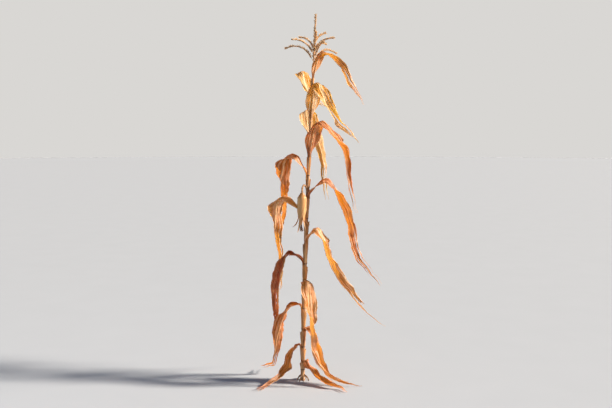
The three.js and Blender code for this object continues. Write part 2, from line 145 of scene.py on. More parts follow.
def make_piece(name, points, faces, finishes, edges=(), notes=None, lie=None, finish_of=None):
    """A piece from points in millimetres. Notes are values at its points that its finish reads, lie is
    each point's place on the flat sheet, across and along, and finish_of is each face's finish."""
    mesh = bpy.data.meshes.new(name)
    mesh.from_pydata((np.asarray(points) * MM).tolist(), list(edges), [list(map(int, f)) for f in faces])
    for finish in finishes:
        mesh.materials.append(finish)
    for note, values in (notes or {}).items():
        at_points = mesh.attributes.new(note, "FLOAT", "POINT").data
        at_points.foreach_set("value", np.asarray(values, np.float32))
    if lie is not None:
        corners = np.zeros(len(mesh.loops), np.int32)
        mesh.loops.foreach_get("vertex_index", corners)
        at_corners = (np.asarray(lie) * MM)[corners]
        mesh.uv_layers.new(name="lie").data.foreach_set("uv", at_corners.astype(np.float32).ravel())
    if finish_of is not None:
        mesh.polygons.foreach_set("material_index", np.asarray(finish_of, np.int32))
    mesh.shade_smooth()
    mesh.validate()
    piece = bpy.data.objects.new(name, mesh)
    bpy.context.scene.collection.objects.link(piece)
    return piece


def linear(code):
    """An sRGB hex colour as linear red, green, blue and alpha."""
    parts = [int(code[k:k + 2], 16) / 255 for k in (1, 3, 5)]
    return [p / 12.92 if p <= 0.04045 else ((p + 0.055) / 1.055) ** 2.4 for p in parts] + [1.0]


def add(tree, kind, inputs=None, out=None, **settings):
    """Adds a node with its settings and links, and returns its output of that name, or its first. An
    input is given by its name or its number, as a value or as the output that feeds it."""
    node = tree.nodes.new(kind)
    for name, value in settings.items():
        setattr(node, name, value)
    for name, value in (inputs or {}).items():
        socket = node.inputs[name] if isinstance(name, int) else next(
            s for s in node.inputs if s.enabled and s.name == name)
        if isinstance(value, bpy.types.NodeSocket):
            tree.links.new(value, socket)
        else:
            socket.default_value = value
    found = [s for s in node.outputs if s.enabled and out in (None, s.name)]
    return found[0] if found else None


def new_finish(name):
    finish = bpy.data.materials.new(name)
    finish.use_nodes = True
    finish.node_tree.nodes.clear()
    return finish, finish.node_tree


def laid_over(tree, ground, layers):
    """Colours laid over a ground colour. A layer is the pattern that it follows, the pattern's values
    where it starts and ends, how strong it is there, and its colour."""
    colour = linear(ground)
    for pattern, start, end, at_start, at_end, tint in layers:
        share = add(tree, "ShaderNodeMapRange", {
            "Value": pattern, "From Min": start, "From Max": end, "To Min": at_start, "To Max": at_end})
        colour = add(tree, "ShaderNodeMix", {"Factor": share, "A": colour, "B": linear(tint)},
                     data_type="RGBA")
    return colour


def end_finish(tree, colour, roughness, relief=None, lit=None, see_through=0):
    """Ends a finish with its surface. Relief is a height, a strength and a depth in metres, and lit is
    the colour of the share of light that comes through."""
    normal = {}
    if relief:
        facing = dict(zip(("Height", "Strength", "Distance"), relief))
        normal["Normal"] = add(tree, "ShaderNodeBump", facing)
    surface = add(tree, "ShaderNodeBsdfPrincipled",
                  {"Base Color": colour, "Roughness": roughness, **normal})
    if see_through:
        through = add(tree, "ShaderNodeBsdfTranslucent", {"Color": lit, **normal})
        surface = add(tree, "ShaderNodeMixShader", {0: see_through, 1: surface, 2: through})
    add(tree, "ShaderNodeOutputMaterial", {"Surface": surface})


# Weathered cane rind: dull, with long fibres in dark and light streaks about 3 mm wide, aged patches some
# 45 mm across, and a dark band at each joint's scar.
rind, tree = new_finish("weathered_cane_rind")
place = add(tree, "ShaderNodeTexCoord", out="Object")
streaks, fibres = (
    add(tree, "ShaderNodeTexNoise", {
        "Vector": add(tree, "ShaderNodeMapping", {"Vector": place, "Scale": scale}), "Scale": 1,
        "Detail": detail, "Roughness": grit})
    for scale, detail, grit in (((330, 330, 8), 5, 0.65), ((1500, 1500, 30), 2, 0.5)))
patches = add(tree, "ShaderNodeTexNoise", {"Vector": place, "Scale": 22, "Detail": 3})
scar = add(tree, "ShaderNodeAttribute", attribute_name="scar", out="Fac")
colour = laid_over(tree, "#8a5c38", [
    (streaks, 0.36, 0.66, 0, 1, "#cea472"), (patches, 0.45, 0.7, 0, 1, "#70482a"),
    (scar, 0, 1, 0, 1, "#3b2213")])
height = add(tree, "ShaderNodeMath", {0: streaks, 1: fibres}, operation="ADD")
end_finish(tree, colour, 0.62, (height, 0.6, 0.0006))

node_heights = np.array([node_height(n) for n in range(1, STEM_NODES + 1)])
near_node = np.array([-26, -18, -12, -9, -7, -5.5, -4, -3, -2, -1.2, -0.4,
                      0.4, 1.2, 2, 3, 4, 5.5, 7, 9, 12, 18])
levels = np.concatenate([[0, 3, 6, 10, 16], (node_heights[:, None] + near_node).ravel(),
                         np.arange(STALK_STEP, STALK_TOP, STALK_STEP), [STALK_TOP]])
levels = np.unique(np.round(levels[levels <= STALK_TOP], 1))
levels = levels[np.concatenate([[True], np.diff(levels) > 0.5])]
turns = np.arange(STALK_SIDES) * 2 * math.pi / STALK_SIDES
from_node = levels[:, None] - node_heights[None, :]
nearest = np.argmin(np.abs(from_node), axis=1)
off_node = from_node[np.arange(len(levels)), nearest]
swell = NODE_SWELL * hump(off_node, 0, NODE_SWELL_REACH)
pinch = NODE_PINCH * hump(off_node, -NODE_PINCH_DROP, NODE_PINCH_REACH)
flare = FOOT_FLARE * (1 - smooth(levels / FOOT_FLARE_HEIGHT))
below = np.searchsorted(node_heights, levels, side="right")
groove_turns = np.radians([leaf_turn(max(n, 1)) for n in below])
clear_of_node = smooth((np.abs(off_node) - CLEAR_FROM_NODE) / CLEAR_OVER) * (levels > node_heights[1])
off_groove = (turns[None, :] - groove_turns[:, None] + math.pi) % (2 * math.pi) - math.pi
groove = GROOVE_DEPTH * clear_of_node[:, None] * hump(off_groove, 0, GROOVE_HALF_WIDTH)
ribs = STALK_RIB_HEIGHT * np.sin(STALK_RIBS * turns)[None, :] * mix(0.4, 1, clear_of_node[:, None])
radii = (stalk_radius(levels) + swell - pinch + flare)[:, None] * (1 - groove) + ribs
rings = axis_point(levels)[:, None, :] + outward(turns)[None, :, :] * radii[:, :, None]
points, faces = closed_tube(rings, axis_point(levels[0]), axis_point(levels[-1]))
scars = np.repeat(hump(off_node, -SCAR_DROP, SCAR_REACH), STALK_SIDES)
stalk = make_piece("stalk_cane", points, faces, [rind], notes={"scar": [*scars, 0, 0]})
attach(stalk, "root")
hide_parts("stalk")

# Brace roots. Stiff pegs that grow out of the lowest joint and prop the foot of the stalk, dark and
# woody, and cut off level with the ground. Each is a rod bent along its own path.
ROOT_COUNT = 9
ROOT_RISE = 34
ROOT_REACH = 26
ROOT_RADIUS = 3.4
ROOT_THINNING = 0.3
ROOT_STATIONS = 22
ROOT_SIDES = 12
ROOT_DROP = 6
ROOT_ARCH = 1.7
GOLDEN_TURN = 137.5


def heading(climb, turn):
    climb = np.asarray(climb, float)
    return outward(turn) * np.cos(climb)[..., None] + np.array([0, 0, 1.0]) * np.sin(climb)[..., None]


def new_tree(name, inputs, result):
    """An empty node tree, and the inputs that it is given, by name."""
    tree = bpy.data.node_groups.new(name, "GeometryNodeTree")
    for label, kind in inputs.items():
        tree.interface.new_socket(label, in_out="INPUT", socket_type="NodeSocket" + kind)
    tree.interface.new_socket(result, in_out="OUTPUT", socket_type="NodeSocketGeometry")
    return tree, tree.nodes.new("NodeGroupInput").outputs


def end_tree(tree, shapes, finish, result):
    """Makes every copy real, gives all of them their finish, and hands them out."""
    real = add(tree, "GeometryNodeRealizeInstances", {"Geometry": shapes})
    finished = add(tree, "GeometryNodeSetMaterial", {"Geometry": real, "Material": finish})
    add(tree, "NodeGroupOutput", {result: finished})


# Rods along paths: how thick they are is noted at the paths' points.
rods, given = new_tree("rod_along_a_path", {
    "Paths": "Geometry", "Sides": "Int", "Finish": "Material"}, "Rods")
curves = add(rods, "GeometryNodeMeshToCurve", {"Mesh": given["Paths"]})
section = add(rods, "GeometryNodeCurvePrimitiveCircle", {"Resolution": given["Sides"], "Radius": 1.0})
thick = add(rods, "GeometryNodeInputNamedAttribute", {"Name": "thick"}, data_type="FLOAT", out="Attribute")
sized = add(rods, "GeometryNodeSetCurveRadius", {"Curve": curves, "Radius": 1.0})
tubes = add(rods, "GeometryNodeCurveToMesh",
            {"Curve": sized, "Profile Curve": section, "Scale": thick, "Fill Caps": True})
end_tree(rods, tubes, given["Finish"], "Rods")


def settle(piece, sharp_from=50):
    """Keeps what the modifiers made as one plain mesh, with its edges sharp where it folds hard."""
    depsgraph = bpy.context.evaluated_depsgraph_get()
    mesh = bpy.data.meshes.new_from_object(
        piece.evaluated_get(depsgraph), preserve_all_data_layers=True, depsgraph=depsgraph)
    piece.modifiers.clear()
    piece.data = mesh
    mesh.shade_smooth()
    mesh.set_sharp_from_angle(angle=math.radians(sharp_from))


def grow(name, paths, notes, tree, sizes):
    """A piece that a node tree makes from lines through lists of points, with the notes at their points
    and the sizes that its inputs name."""
    starts = np.cumsum([0] + [len(path) for path in paths])
    edges = [(s + k, s + k + 1) for s, path in zip(starts, paths) for k in range(len(path) - 1)]
    piece = make_piece(name, np.concatenate(paths), [], [], edges=edges, notes=notes)
    modifier = piece.modifiers.new(tree.name, "NODES")
    modifier.node_group = tree
    for socket in tree.interface.items_tree:
        if socket.in_out == "INPUT" and socket.name in sizes:
            modifier[socket.identifier] = sizes[socket.name]
    settle(piece)
    return piece


def mottled(name, dark, light, scale, detail, spread, roughness, relief=None, grit=0.5):
    """A finish in two tones that a noise deals out over its spread of values. The noise is its relief
    too, where that is given as a strength and a depth in metres."""
    finish, tree = new_finish(name)
    place = add(tree, "ShaderNodeTexCoord", out="Object")
    noise = add(tree, "ShaderNodeTexNoise",
                {"Vector": place, "Scale": scale, "Detail": detail, "Roughness": grit})
    colour = laid_over(tree, dark, [(noise, *spread, 0, 1, light)])
    end_finish(tree, colour, roughness, relief and (noise, *relief))
    return finish


# Root bark: rough, dark and dry, with knots about 4 mm apart.
root_bark = mottled("dry_root_bark", "#4a2c18", "#94704e", 260, 6, (0.38, 0.62), 0.8, (0.9, 0.001), 0.7)

paths, thick = [], []
for k in range(ROOT_COUNT):
    reach = ROOT_REACH * mix(0.8, 1.15, chance(k, 0, 50))
    rise = ROOT_RISE * mix(0.7, 1.1, chance(k, 0, 51))
    at_ground = (rise / (rise + ROOT_DROP)) ** (1 / ROOT_ARCH)
    share = np.linspace(0, at_ground, ROOT_STATIONS)
    inside = STALK_FOOT_RADIUS / 2
    radial = inside + (inside + reach) * np.sin(share * math.pi / 2)
    path = outward(math.radians(GOLDEN_TURN * k)) * radial[:, None]
    path[:, 2] = np.maximum(mix(rise, -ROOT_DROP, share ** ROOT_ARCH), 0)
    knotty = 1 + 0.1 * np.sin(9 * share + 2 * k) + 0.06 * np.sin(31 * share + k)
    paths.append(path)
    thick.append(ROOT_RADIUS * (1 - ROOT_THINNING * share) * knotty * MM)
roots = grow("brace_roots", paths, {"thick": np.concatenate(thick)}, rods,
             {"Sides": ROOT_SIDES, "Finish": root_bark})
for vertex in roots.data.vertices:
    vertex.co.z = max(vertex.co.z, 0)
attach(roots, "root")
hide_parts("stalk")

# Tassel. The dry flower head: a stiff spike and nine branches of thin tough stem, set all along with
# papery empty scales in tufts. The stems are rods, and the scales are dealt out along them.
TASSEL_LENGTH = 292
TASSEL_RADIUS = 2.2
BRANCH_RADIUS = 1.3
TIP_THINNING = 0.4
TASSEL_SIDES = 8
TASSEL_SPANS = 10
BRANCHES = 9
BRANCH_LENGTH = 205
BRANCH_SHORTENING = 0.4
BRANCH_SPANS = 8
BRANCHES_FROM = 14
BRANCHES_OVER = 100
BRANCH_RISE = 62
STEM_STATIONS = 40
SCALE_LENGTH = 12.5
SCALE_HALF_WIDTH = 2.6
SCALE_FLATNESS = 0.62
SCALE_SIDES = 6
SCALE_SPACING = 4.4
SCALES_TOGETHER = 7
SCALE_SPREAD = 36
BARE_FOOT = 0.12


def between(values, share):
    """A smooth reading of a list of points at shares of its length."""
    values = np.asarray(values, float)
    x = np.clip(share, 0, 1) * (len(values) - 1)
    k = np.minimum(x.astype(int), len(values) - 2)
    t = (x - k)[:, None]
    ends = np.vstack([2 * values[0] - values[1], values, 2 * values[-1] - values[-2]])
    a, b, c, d = (ends[k + j] for j in range(4))
    return 0.5 * (2 * b + (c - a) * t + (2 * a - 5 * b + 4 * c - d) * t ** 2
                  + (3 * b - a - 3 * c + d) * t ** 3)


def trail(start, steps):
    """The points that a row of steps leads through."""
    return start + np.vstack([[0, 0, 0], np.cumsum(steps, axis=0)])


# Copies of one scale dealt out along paths, in tufts that point forwards and outwards.
tufts, given = new_tree("scales_along_a_path", {
    "Paths": "Geometry", "Scale": "Object", "Spacing": "Float", "Together": "Int", "Spread": "Float",
    "Bare Foot": "Float", "Seed": "Int", "Finish": "Material"}, "Scales")
curves = add(tufts, "GeometryNodeMeshToCurve", {"Mesh": given["Paths"]})
tops = add(tufts, "GeometryNodeTrimCurve", {"Curve": curves, "Start": given["Bare Foot"], "End": 1.0})
spots = tufts.nodes.new("GeometryNodeCurveToPoints")
spots.mode = "LENGTH"
tufts.links.new(tops, spots.inputs["Curve"])
tufts.links.new(given["Spacing"], spots.inputs["Length"])
kept = add(tufts, "GeometryNodeStoreNamedAttribute",
           {"Geometry": spots.outputs["Points"], "Name": "lay", "Value": spots.outputs["Rotation"]},
           data_type="QUATERNION", domain="POINT")
together = add(tufts, "GeometryNodeDuplicateElements", {"Geometry": kept, "Amount": given["Together"]},
               domain="POINT")
spin, lean, size, shade = (
    add(tufts, "FunctionNodeRandomValue", {"Min": low, "Max": high, "Seed": given["Seed"]},
        data_type="FLOAT")
    for low, high in ((0.0, 2 * math.pi), (0.45, 1.45), (0.7, 1.15), (0.0, 1.0)))
tilt = add(tufts, "ShaderNodeMath", {0: lean, 1: given["Spread"]}, operation="MULTIPLY")
turned = add(tufts, "ShaderNodeCombineXYZ", {"X": tilt, "Z": spin})
lay = add(tufts, "GeometryNodeInputNamedAttribute", {"Name": "lay"}, data_type="QUATERNION",
          out="Attribute")
facing = add(tufts, "FunctionNodeRotateRotation",
             {"Rotation": lay, "Rotate By": add(tufts, "FunctionNodeEulerToRotation", {"Euler": turned})},
             rotation_space="LOCAL")
scale = add(tufts, "GeometryNodeObjectInfo", {"Object": given["Scale"]}, out="Geometry")
placed = add(tufts, "GeometryNodeInstanceOnPoints",
             {"Points": together, "Instance": scale, "Rotation": facing, "Scale": size})
noted = add(tufts, "GeometryNodeStoreNamedAttribute", {"Geometry": placed, "Name": "shade", "Value": shade},
            data_type="FLOAT", domain="INSTANCE")
end_tree(tufts, noted, given["Finish"], "Scales")

# Dry chaff: papery, dull and pale, with a grain about 1 mm across, each scale a little lighter or darker
# than the next. Light comes through it.
chaff, tree = new_finish("dry_chaff")
place = add(tree, "ShaderNodeTexCoord", out="Object")
grain = add(tree, "ShaderNodeTexNoise", {"Vector": place, "Scale": 900, "Detail": 2})
shade = add(tree, "ShaderNodeAttribute", attribute_name="shade", out="Fac")
colour = laid_over(tree, "#e6c28c", [(shade, 0, 1, 0, 1, "#fff4dc"), (grain, 0, 1, 0, 1, "#dab27a")])
end_finish(tree, colour, 0.6, (grain, 0.5, 0.0003), colour, 0.6)

spike_foot = axis_point(STALK_TOP)
tassel_lean = spike_foot - axis_point(STALK_TOP - 50)
tassel_lean = tassel_lean / np.linalg.norm(tassel_lean)
spike = spike_foot + tassel_lean * np.linspace(0, TASSEL_LENGTH, TASSEL_SPANS + 1)[:, None]
branches = []
for b in range(BRANCHES):
    share = b / (BRANCHES - 1)
    length = BRANCH_LENGTH * (1 - BRANCH_SHORTENING * share) * mix(0.85, 1.1, chance(b, 0, 60))
    k = np.arange(BRANCH_SPANS + 1)
    climb = np.radians(mix(BRANCH_RISE, mix(-25, 20, share), smooth(k / BRANCH_SPANS)))
    turn = np.radians(GOLDEN_TURN * b + 20 + 18 * np.sin(k / 3 + b))
    foot = spike_foot + tassel_lean * (BRANCHES_FROM + BRANCHES_OVER * share)
    branches.append(trail(foot, heading(climb, turn)[:-1] * length / BRANCH_SPANS))
stems = [between(path, np.linspace(0, 1, STEM_STATIONS)) for path in [spike, *branches]]
stem_radii = [TASSEL_RADIUS] + [BRANCH_RADIUS] * BRANCHES
thick = np.array([np.linspace(1, TIP_THINNING, STEM_STATIONS) * radius * MM for radius in stem_radii])
thick[0, 0] = STALK_TIP_RADIUS * MM
notes = {"thick": thick.ravel(), "shade": np.full(thick.size, 0.35)}
tassel_stems = grow("tassel_stems", stems, notes, rods, {"Sides": TASSEL_SIDES, "Finish": chaff})

# One scale is a slim pointed boat. Its rows are shares of its length, with its width at each.
scale_rows = np.array([[0.02, 0.35], [0.2, 0.85], [0.5, 1.0], [0.78, 0.62], [1.0, 0.06]])
around = np.arange(SCALE_SIDES) * 2 * math.pi / SCALE_SIDES
scale_points = [
    [SCALE_HALF_WIDTH * w * math.cos(a), SCALE_FLATNESS * SCALE_HALF_WIDTH * w * math.sin(a) + 0.6 * r,
     SCALE_LENGTH * r] for r, w in scale_rows for a in around]
scale_faces = net(len(scale_rows), SCALE_SIDES, closed=True).tolist()
scale_faces += [list(range(SCALE_SIDES))[::-1], list(range(len(scale_points)))[-SCALE_SIDES:]]
one_scale = make_piece("one_scale", scale_points, scale_faces, [chaff])
tassel_scales = grow("tassel_scales", stems, {}, tufts, {
    "Scale": one_scale, "Spacing": SCALE_SPACING * MM, "Together": SCALES_TOGETHER,
    "Spread": math.radians(SCALE_SPREAD), "Bare Foot": BARE_FOOT, "Seed": SEED, "Finish": chaff})
bpy.data.objects.remove(one_scale)
for piece in (tassel_stems, tassel_scales):
    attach(piece, "root")
    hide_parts("tassel")

# Ear shank. The short jointed side stem that carries the ear. It leaves the stalk in a leaf's axil,
# and has bent over as it dried, so that the ear hangs nose down.
EAR_LEAF = 11
EAR_ABOVE_NODE = 44
EAR_SIDE_WRAP = 40
COLLAR_WRAP = 75
SHANK_RADIUS = 6
SHANK_LENGTH = 96
SHANK_CLIMB = 55
SHANK_SPANS = 9
SHANK_STATIONS = 90
SHANK_SIDES = 20
SHANK_JOINTS = 6
SHANK_JOINT_HEIGHT = 0.9
SHANK_ROOTED = 7
GAP = 0.3

ear_turn = math.radians(
    (leaf_turn(EAR_LEAF) + EAR_SIDE_WRAP + leaf_turn(EAR_LEAF - 1) + 360 - COLLAR_WRAP) / 2)
shank_level = node_height(EAR_LEAF) + EAR_ABOVE_NODE
first_climb = math.radians(SHANK_CLIMB)
shank_start = stalk_radius(shank_level) + GAP + SHANK_RADIUS * math.sin(first_climb)
climb = mix(first_climb, -math.pi / 2, smooth(np.arange(SHANK_SPANS + 1) / (SHANK_SPANS - 1)))
shank_path = trail(axis_point(shank_level) + outward(ear_turn) * shank_start,
                   heading(climb, ear_turn)[:-1] * SHANK_LENGTH / SHANK_SPANS)
share = np.linspace(0, 1, SHANK_STATIONS)
path = between(shank_path, share)
path = np.vstack([path[0] - heading(first_climb, ear_turn) * SHANK_ROOTED, path])
joints = np.abs((share * SHANK_JOINTS) % 1 - 0.5) < 0.07
radii = SHANK_RADIUS * mix(0.78, 0.9, share) + SHANK_JOINT_HEIGHT * joints
notes = {"thick": np.array([radii[0], *radii]) * MM, "scar": [0, *(0.6 * joints)]}
shank = grow("shank_stem", [path], notes, rods, {"Sides": SHANK_SIDES, "Finish": rind})
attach(shank, "root")
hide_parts("ear_shank")

# Ear. Dry husk leaves lapped round one another over the cob: ribbed, papery and paler than the
# blades. Their long points have come away from the ear's nose and hang loose.
EAR_LENGTH = 185
EAR_RADIUS = 24
EAR_SWING = 10
HUSK_TIPS = 5
HUSK_TIPS_FROM = 0.62
HUSK_TIP_STAGGER = 0.04
HUSK_TIP_LENGTH = 88
HUSK_TIP_WIDTH = 19
HUSK_TIP_SPANS = 6
HUSK_TIP_TWIST = 1.8
HUSK_WRAP = 112
HUSK_COLUMNS = 33
HUSK_ROWS_ON_EAR = 46
HUSK_ROWS_FREE = 34
HUSK_THICKNESS = 0.5
HUSK_CLEAR = 0.35
HUSK_LAP = 0.55
HUSK_EDGE_LIFT = 1.6
HUSK_RIBS = 17
HUSK_RIB_HEIGHT = 0.28
HUSK_WRINKLE = 0.5
CORE_ROWS = 60
CORE_SIDES = 96
CORE_INSIDE = 0.7
# Each sheet has its own part of the leaf pattern, this far from the next one's.
SHEETS_APART = 300

ear_top = shank_path[-1]


def ear_axis(share):
    share = np.asarray(share, float)
    along = outward(ear_turn) * (EAR_SWING * share)[..., None]
    return ear_top + along - np.array([0, 0, 1.0]) * (GAP + EAR_LENGTH * share)[..., None]


def ear_radius(share):
    shoulder = mix(0.34, 1, smooth(share / 0.18))
    return EAR_RADIUS * shoulder * (1 - 0.86 * smooth((share - 0.45) / 0.55) ** 1.4)


def flat(across, along):
    """Each point's place on the flat sheet, row by row."""
    return np.stack(np.broadcast_arrays(across, along), -1).reshape(-1, 2)


def rolled(side, up, angle):
    """What points to the side of a path and above it, rolled about the path."""
    return side * np.cos(angle) + up * np.sin(angle), up * np.cos(angle) - side * np.sin(angle)


def off_path(place, side, up, x, y):
    """Rows of points x to the side of a path and y above it."""
    return place[:, None, :] + side[:, None, :] * x[..., None] + up[:, None, :] * y[..., None]


def dry_leaf(name, dark, middle, pale, rib, glow, vein, see_through):
    """Dead leaf: stiff paper with fine parallel veins a vein's width apart, along the leaf. Light comes
    through it warmer than it comes off it. It is pale on the rib and the edge, with brown patches."""
    finish, tree = new_finish(name)
    lie = add(tree, "ShaderNodeUVMap", uv_map="lie")
    place = add(tree, "ShaderNodeTexCoord", out="Object")
    across = add(tree, "ShaderNodeAttribute", attribute_name="across", out="Fac")
    from_root = add(tree, "ShaderNodeSeparateXYZ", {"Vector": lie}, out="Y")
    # The bands of veins are really finer than a pixel of the render, and are drawn four veins wide to
    # show. Stains are about 30 mm wide, patches 110 mm and specks 5 mm.
    veins, bands, stains = (
        add(tree, "ShaderNodeTexNoise", {
            "Vector": add(tree, "ShaderNodeMapping", {"Vector": lie, "Scale": (*scale, 1)}), "Scale": 1,
            "Detail": detail, "Roughness": grit})
        for scale, detail, grit in (((1 / (vein * MM), 5), 3, 0.6), ((0.25 / (vein * MM), 2.5), 4, 0.6),
                                    ((34, 5.5), 5, 0.65)))
    patches = add(tree, "ShaderNodeTexNoise", {"Vector": place, "Scale": 9, "Detail": 3, "Roughness": 0.55})
    specks = add(tree, "ShaderNodeTexNoise", {"Vector": place, "Scale": 190, "Detail": 2})
    # The last layer darkens the first 35 mm, where the leaf is rooted.
    colour = laid_over(tree, middle, [
        (bands, 0.43, 0.57, 0, 1, pale), (veins, 0.36, 0.6, 0.8, 0, middle),
        (patches, 0.42, 0.66, 0, 0.55, middle), (stains, 0.52, 0.66, 0, 0.85, dark),
        (specks, 0.66, 0.72, 0, 0.6, dark), (across, 0.06, 0.13, 0.85, 0, rib),
        (across, 0.9, 1, 0, 0.75, pale), (from_root, 0.002, 0.035, 0.75, 0, dark)])
    lit = add(tree, "ShaderNodeMix", {"Factor": 0.8, "A": colour, "B": linear(glow)}, data_type="RGBA")
    gloss = add(tree, "ShaderNodeMapRange", {"Value": veins, "To Min": 0.3, "To Max": 0.52})
    height = add(tree, "ShaderNodeMath", {0: veins, 1: bands}, operation="ADD")
    end_finish(tree, colour, gloss, (height, 1.0, 0.0007), lit, see_through)
    return finish


def make_sheets(name, sheets, finishes, thickness):
    """One piece from several sheets, given their thickness, half on either side, with their rims
    closed. A sheet is its points, its faces, how far each point is from its middle towards its edges,
    each point's place on the flat sheet, and the number of its finish."""
    points, faces, across, lies, shades = zip(*sheets)
    starts = np.cumsum([0] + [len(p) for p in points])
    piece = make_piece(name, np.concatenate(points), np.concatenate([f + s for f, s in zip(faces, starts)]),
                       finishes, notes={"across": np.concatenate(across)}, lie=np.concatenate(lies),
                       finish_of=np.repeat(shades, [len(f) for f in faces]))
    wall = piece.modifiers.new("paper_thickness", "SOLIDIFY")
    wall.thickness = thickness * MM
    wall.offset = 0
    settle(piece, 55)
    return piece


# Husk paper: the palest and most strongly ribbed of the dry leaves.
husk_paper = dry_leaf("dry_husk_paper", "#9c642e", "#cb985c", "#f0d4a0", "#e2b87c", "#f0a44c", 2.4, 0.35)

sheets = []
a = np.linspace(-1, 1, HUSK_COLUMNS)[None, :]
for k in range(HUSK_TIPS):
    turn = math.radians(GOLDEN_TURN * k + 40)
    clear = HUSK_LAP * k + HUSK_CLEAR
    tip_from = HUSK_TIPS_FROM + HUSK_TIP_STAGGER * k
    on_ear = np.linspace(0.0, tip_from, HUSK_ROWS_ON_EAR)[:, None]
    tip_arc = HUSK_TIP_WIDTH / 2 / ear_radius(tip_from)
    arc = mix(math.radians(HUSK_WRAP), tip_arc, smooth((on_ear / tip_from - 0.25) / 0.75))
    lift = clear + HUSK_EDGE_LIFT * np.abs(a) ** 8 * smooth(on_ear / tip_from * 2)
    ribs = HUSK_RIB_HEIGHT * np.sin(HUSK_RIBS * math.pi * a) * smooth(on_ear / 0.1)
    radius = ear_radius(on_ear) + lift + ribs
    on_ear_points = ear_axis(on_ear) + outward(turn + a * arc) * radius[..., None]

    # Past the ear the husk narrows to a loose point, which droops, curls in and twists.
    spans = np.arange(HUSK_TIP_SPANS + 1) / HUSK_TIP_SPANS
    climbs = np.radians(mix(-88, mix(-70, -25, chance(k, 0, 70)), smooth(spans * 1.1)))
    tip_path = trail(ear_axis(tip_from) + outward(turn) * (ear_radius(tip_from) + clear),
                     heading(climbs, turn)[:-1] * HUSK_TIP_LENGTH / HUSK_TIP_SPANS)
    free = np.linspace(0, 1, HUSK_ROWS_FREE + 1)[1:]
    level, face = outward(turn + math.pi / 2), heading(np.interp(free, spans, climbs) + math.pi / 2, turn)
    centre, free = between(tip_path, free), free[:, None]
    roll = mix(0.5, 1.5, free)
    curled = HUSK_TIP_WIDTH / 2 * (1 - 0.9 * free ** 1.5) / roll
    side, up = rolled(level, face, (HUSK_TIP_TWIST if k % 2 else -HUSK_TIP_TWIST) * free ** 2)
    wrinkle = HUSK_WRINKLE * np.sin(5 * math.pi * a + 9 * free) * smooth(free / 0.3)
    joined = np.concatenate([on_ear_points, off_path(
        centre, side, up, curled * np.sin(a * roll), wrinkle - curled * (1 - np.cos(a * roll)))])
    along = np.concatenate([on_ear * EAR_LENGTH, tip_from * EAR_LENGTH + free * HUSK_TIP_LENGTH])
    sheets.append((joined.reshape(-1, 3), net(len(joined), HUSK_COLUMNS),
                   np.tile(np.abs(a[0]), len(joined)), flat(a * 40 + SHEETS_APART * k, along), 0))
husks = make_sheets("husk_leaves", sheets, [husk_paper], HUSK_THICKNESS)

# Under them the inner husk closes the ear all round.
share = np.linspace(0, 1, CORE_ROWS)[:, None]
turns = np.arange(CORE_SIDES) * 2 * math.pi / CORE_SIDES
radii = ear_radius(share) - CORE_INSIDE + 0.3 * np.sin(30 * turns + 3 * share)
rings = ear_axis(share) + outward(-turns)[None, :, :] * radii[:, :, None]
points, faces = closed_tube(rings, ear_axis(0.0), ear_axis(1.0))
apart = SHEETS_APART * (HUSK_TIPS + 2) - 100
lie = flat(turns * EAR_RADIUS + apart, share * EAR_LENGTH)
inner_husk = make_piece(
    "inner_husk", points, faces, [husk_paper], lie=[*lie, [apart, 0], [apart, EAR_LENGTH]],
    notes={"across": np.full(len(points), 0.5)})
for piece in (husks, inner_husk):
    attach(piece, "root")
    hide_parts("ear")

# Silk. The ear's dead styles: a tuft of fine dark brown threads that hangs from the nose in locks.
# Each lock's path is copied many times over, and every thread strays a little from it.
SILK_LOCKS = 5
SILK_LENGTH = 38
SILK_SPREAD = 11
SILK_THREADS = 34
SILK_STRAY = 5
SILK_THREAD_RADIUS = 0.26

silk_tree, given = new_tree("threads_from_locks", {
    "Locks": "Geometry", "Threads": "Int", "Stray": "Float", "Thread Radius": "Float", "Seed": "Int",
    "Finish": "Material"}, "Silk")
curves = add(silk_tree, "GeometryNodeMeshToCurve", {"Mesh": given["Locks"]})
threads = add(silk_tree, "GeometryNodeDuplicateElements", {"Geometry": curves, "Amount": given["Threads"]},
              domain="SPLINE")
stray = add(silk_tree, "FunctionNodeRandomValue",
            {"Min": (-1, -1, -0.8), "Max": (1, 1, 0.8), "Seed": given["Seed"]}, data_type="FLOAT_VECTOR")
own_stray = add(silk_tree, "GeometryNodeFieldOnDomain", {"Value": stray}, data_type="FLOAT_VECTOR",
                domain="CURVE")
along = add(silk_tree, "GeometryNodeSplineParameter", out="Factor")
opened = add(silk_tree, "ShaderNodeMapRange", {"Value": along, "To Min": 0.22, "To Max": 1.0})
wide = add(silk_tree, "ShaderNodeMath", {0: opened, 1: given["Stray"]}, operation="MULTIPLY")
spread = add(silk_tree, "ShaderNodeVectorMath", {0: own_stray, "Scale": wide}, operation="SCALE")
place = add(silk_tree, "GeometryNodeInputPosition")
shifted = add(silk_tree, "ShaderNodeVectorMath", {0: own_stray, "Scale": 0.05}, operation="SCALE")
read_at = add(silk_tree, "ShaderNodeVectorMath", {0: place, 1: shifted}, operation="ADD")
curl = add(silk_tree, "ShaderNodeTexNoise", {"Vector": read_at, "Scale": 90, "Detail": 1}, out="Color")
centred = add(silk_tree, "ShaderNodeVectorMath", {0: curl, 1: (0.5, 0.5, 0.5)}, operation="SUBTRACT")
curly = add(silk_tree, "ShaderNodeVectorMath", {0: centred, "Scale": wide}, operation="SCALE")
curlier = add(silk_tree, "ShaderNodeVectorMath", {0: curly, "Scale": 2.2}, operation="SCALE")
offset = add(silk_tree, "ShaderNodeVectorMath", {0: spread, 1: curlier}, operation="ADD")
moved = add(silk_tree, "GeometryNodeSetPosition", {"Geometry": threads, "Offset": offset})
sized = add(silk_tree, "GeometryNodeSetCurveRadius", {"Curve": moved, "Radius": 1.0})
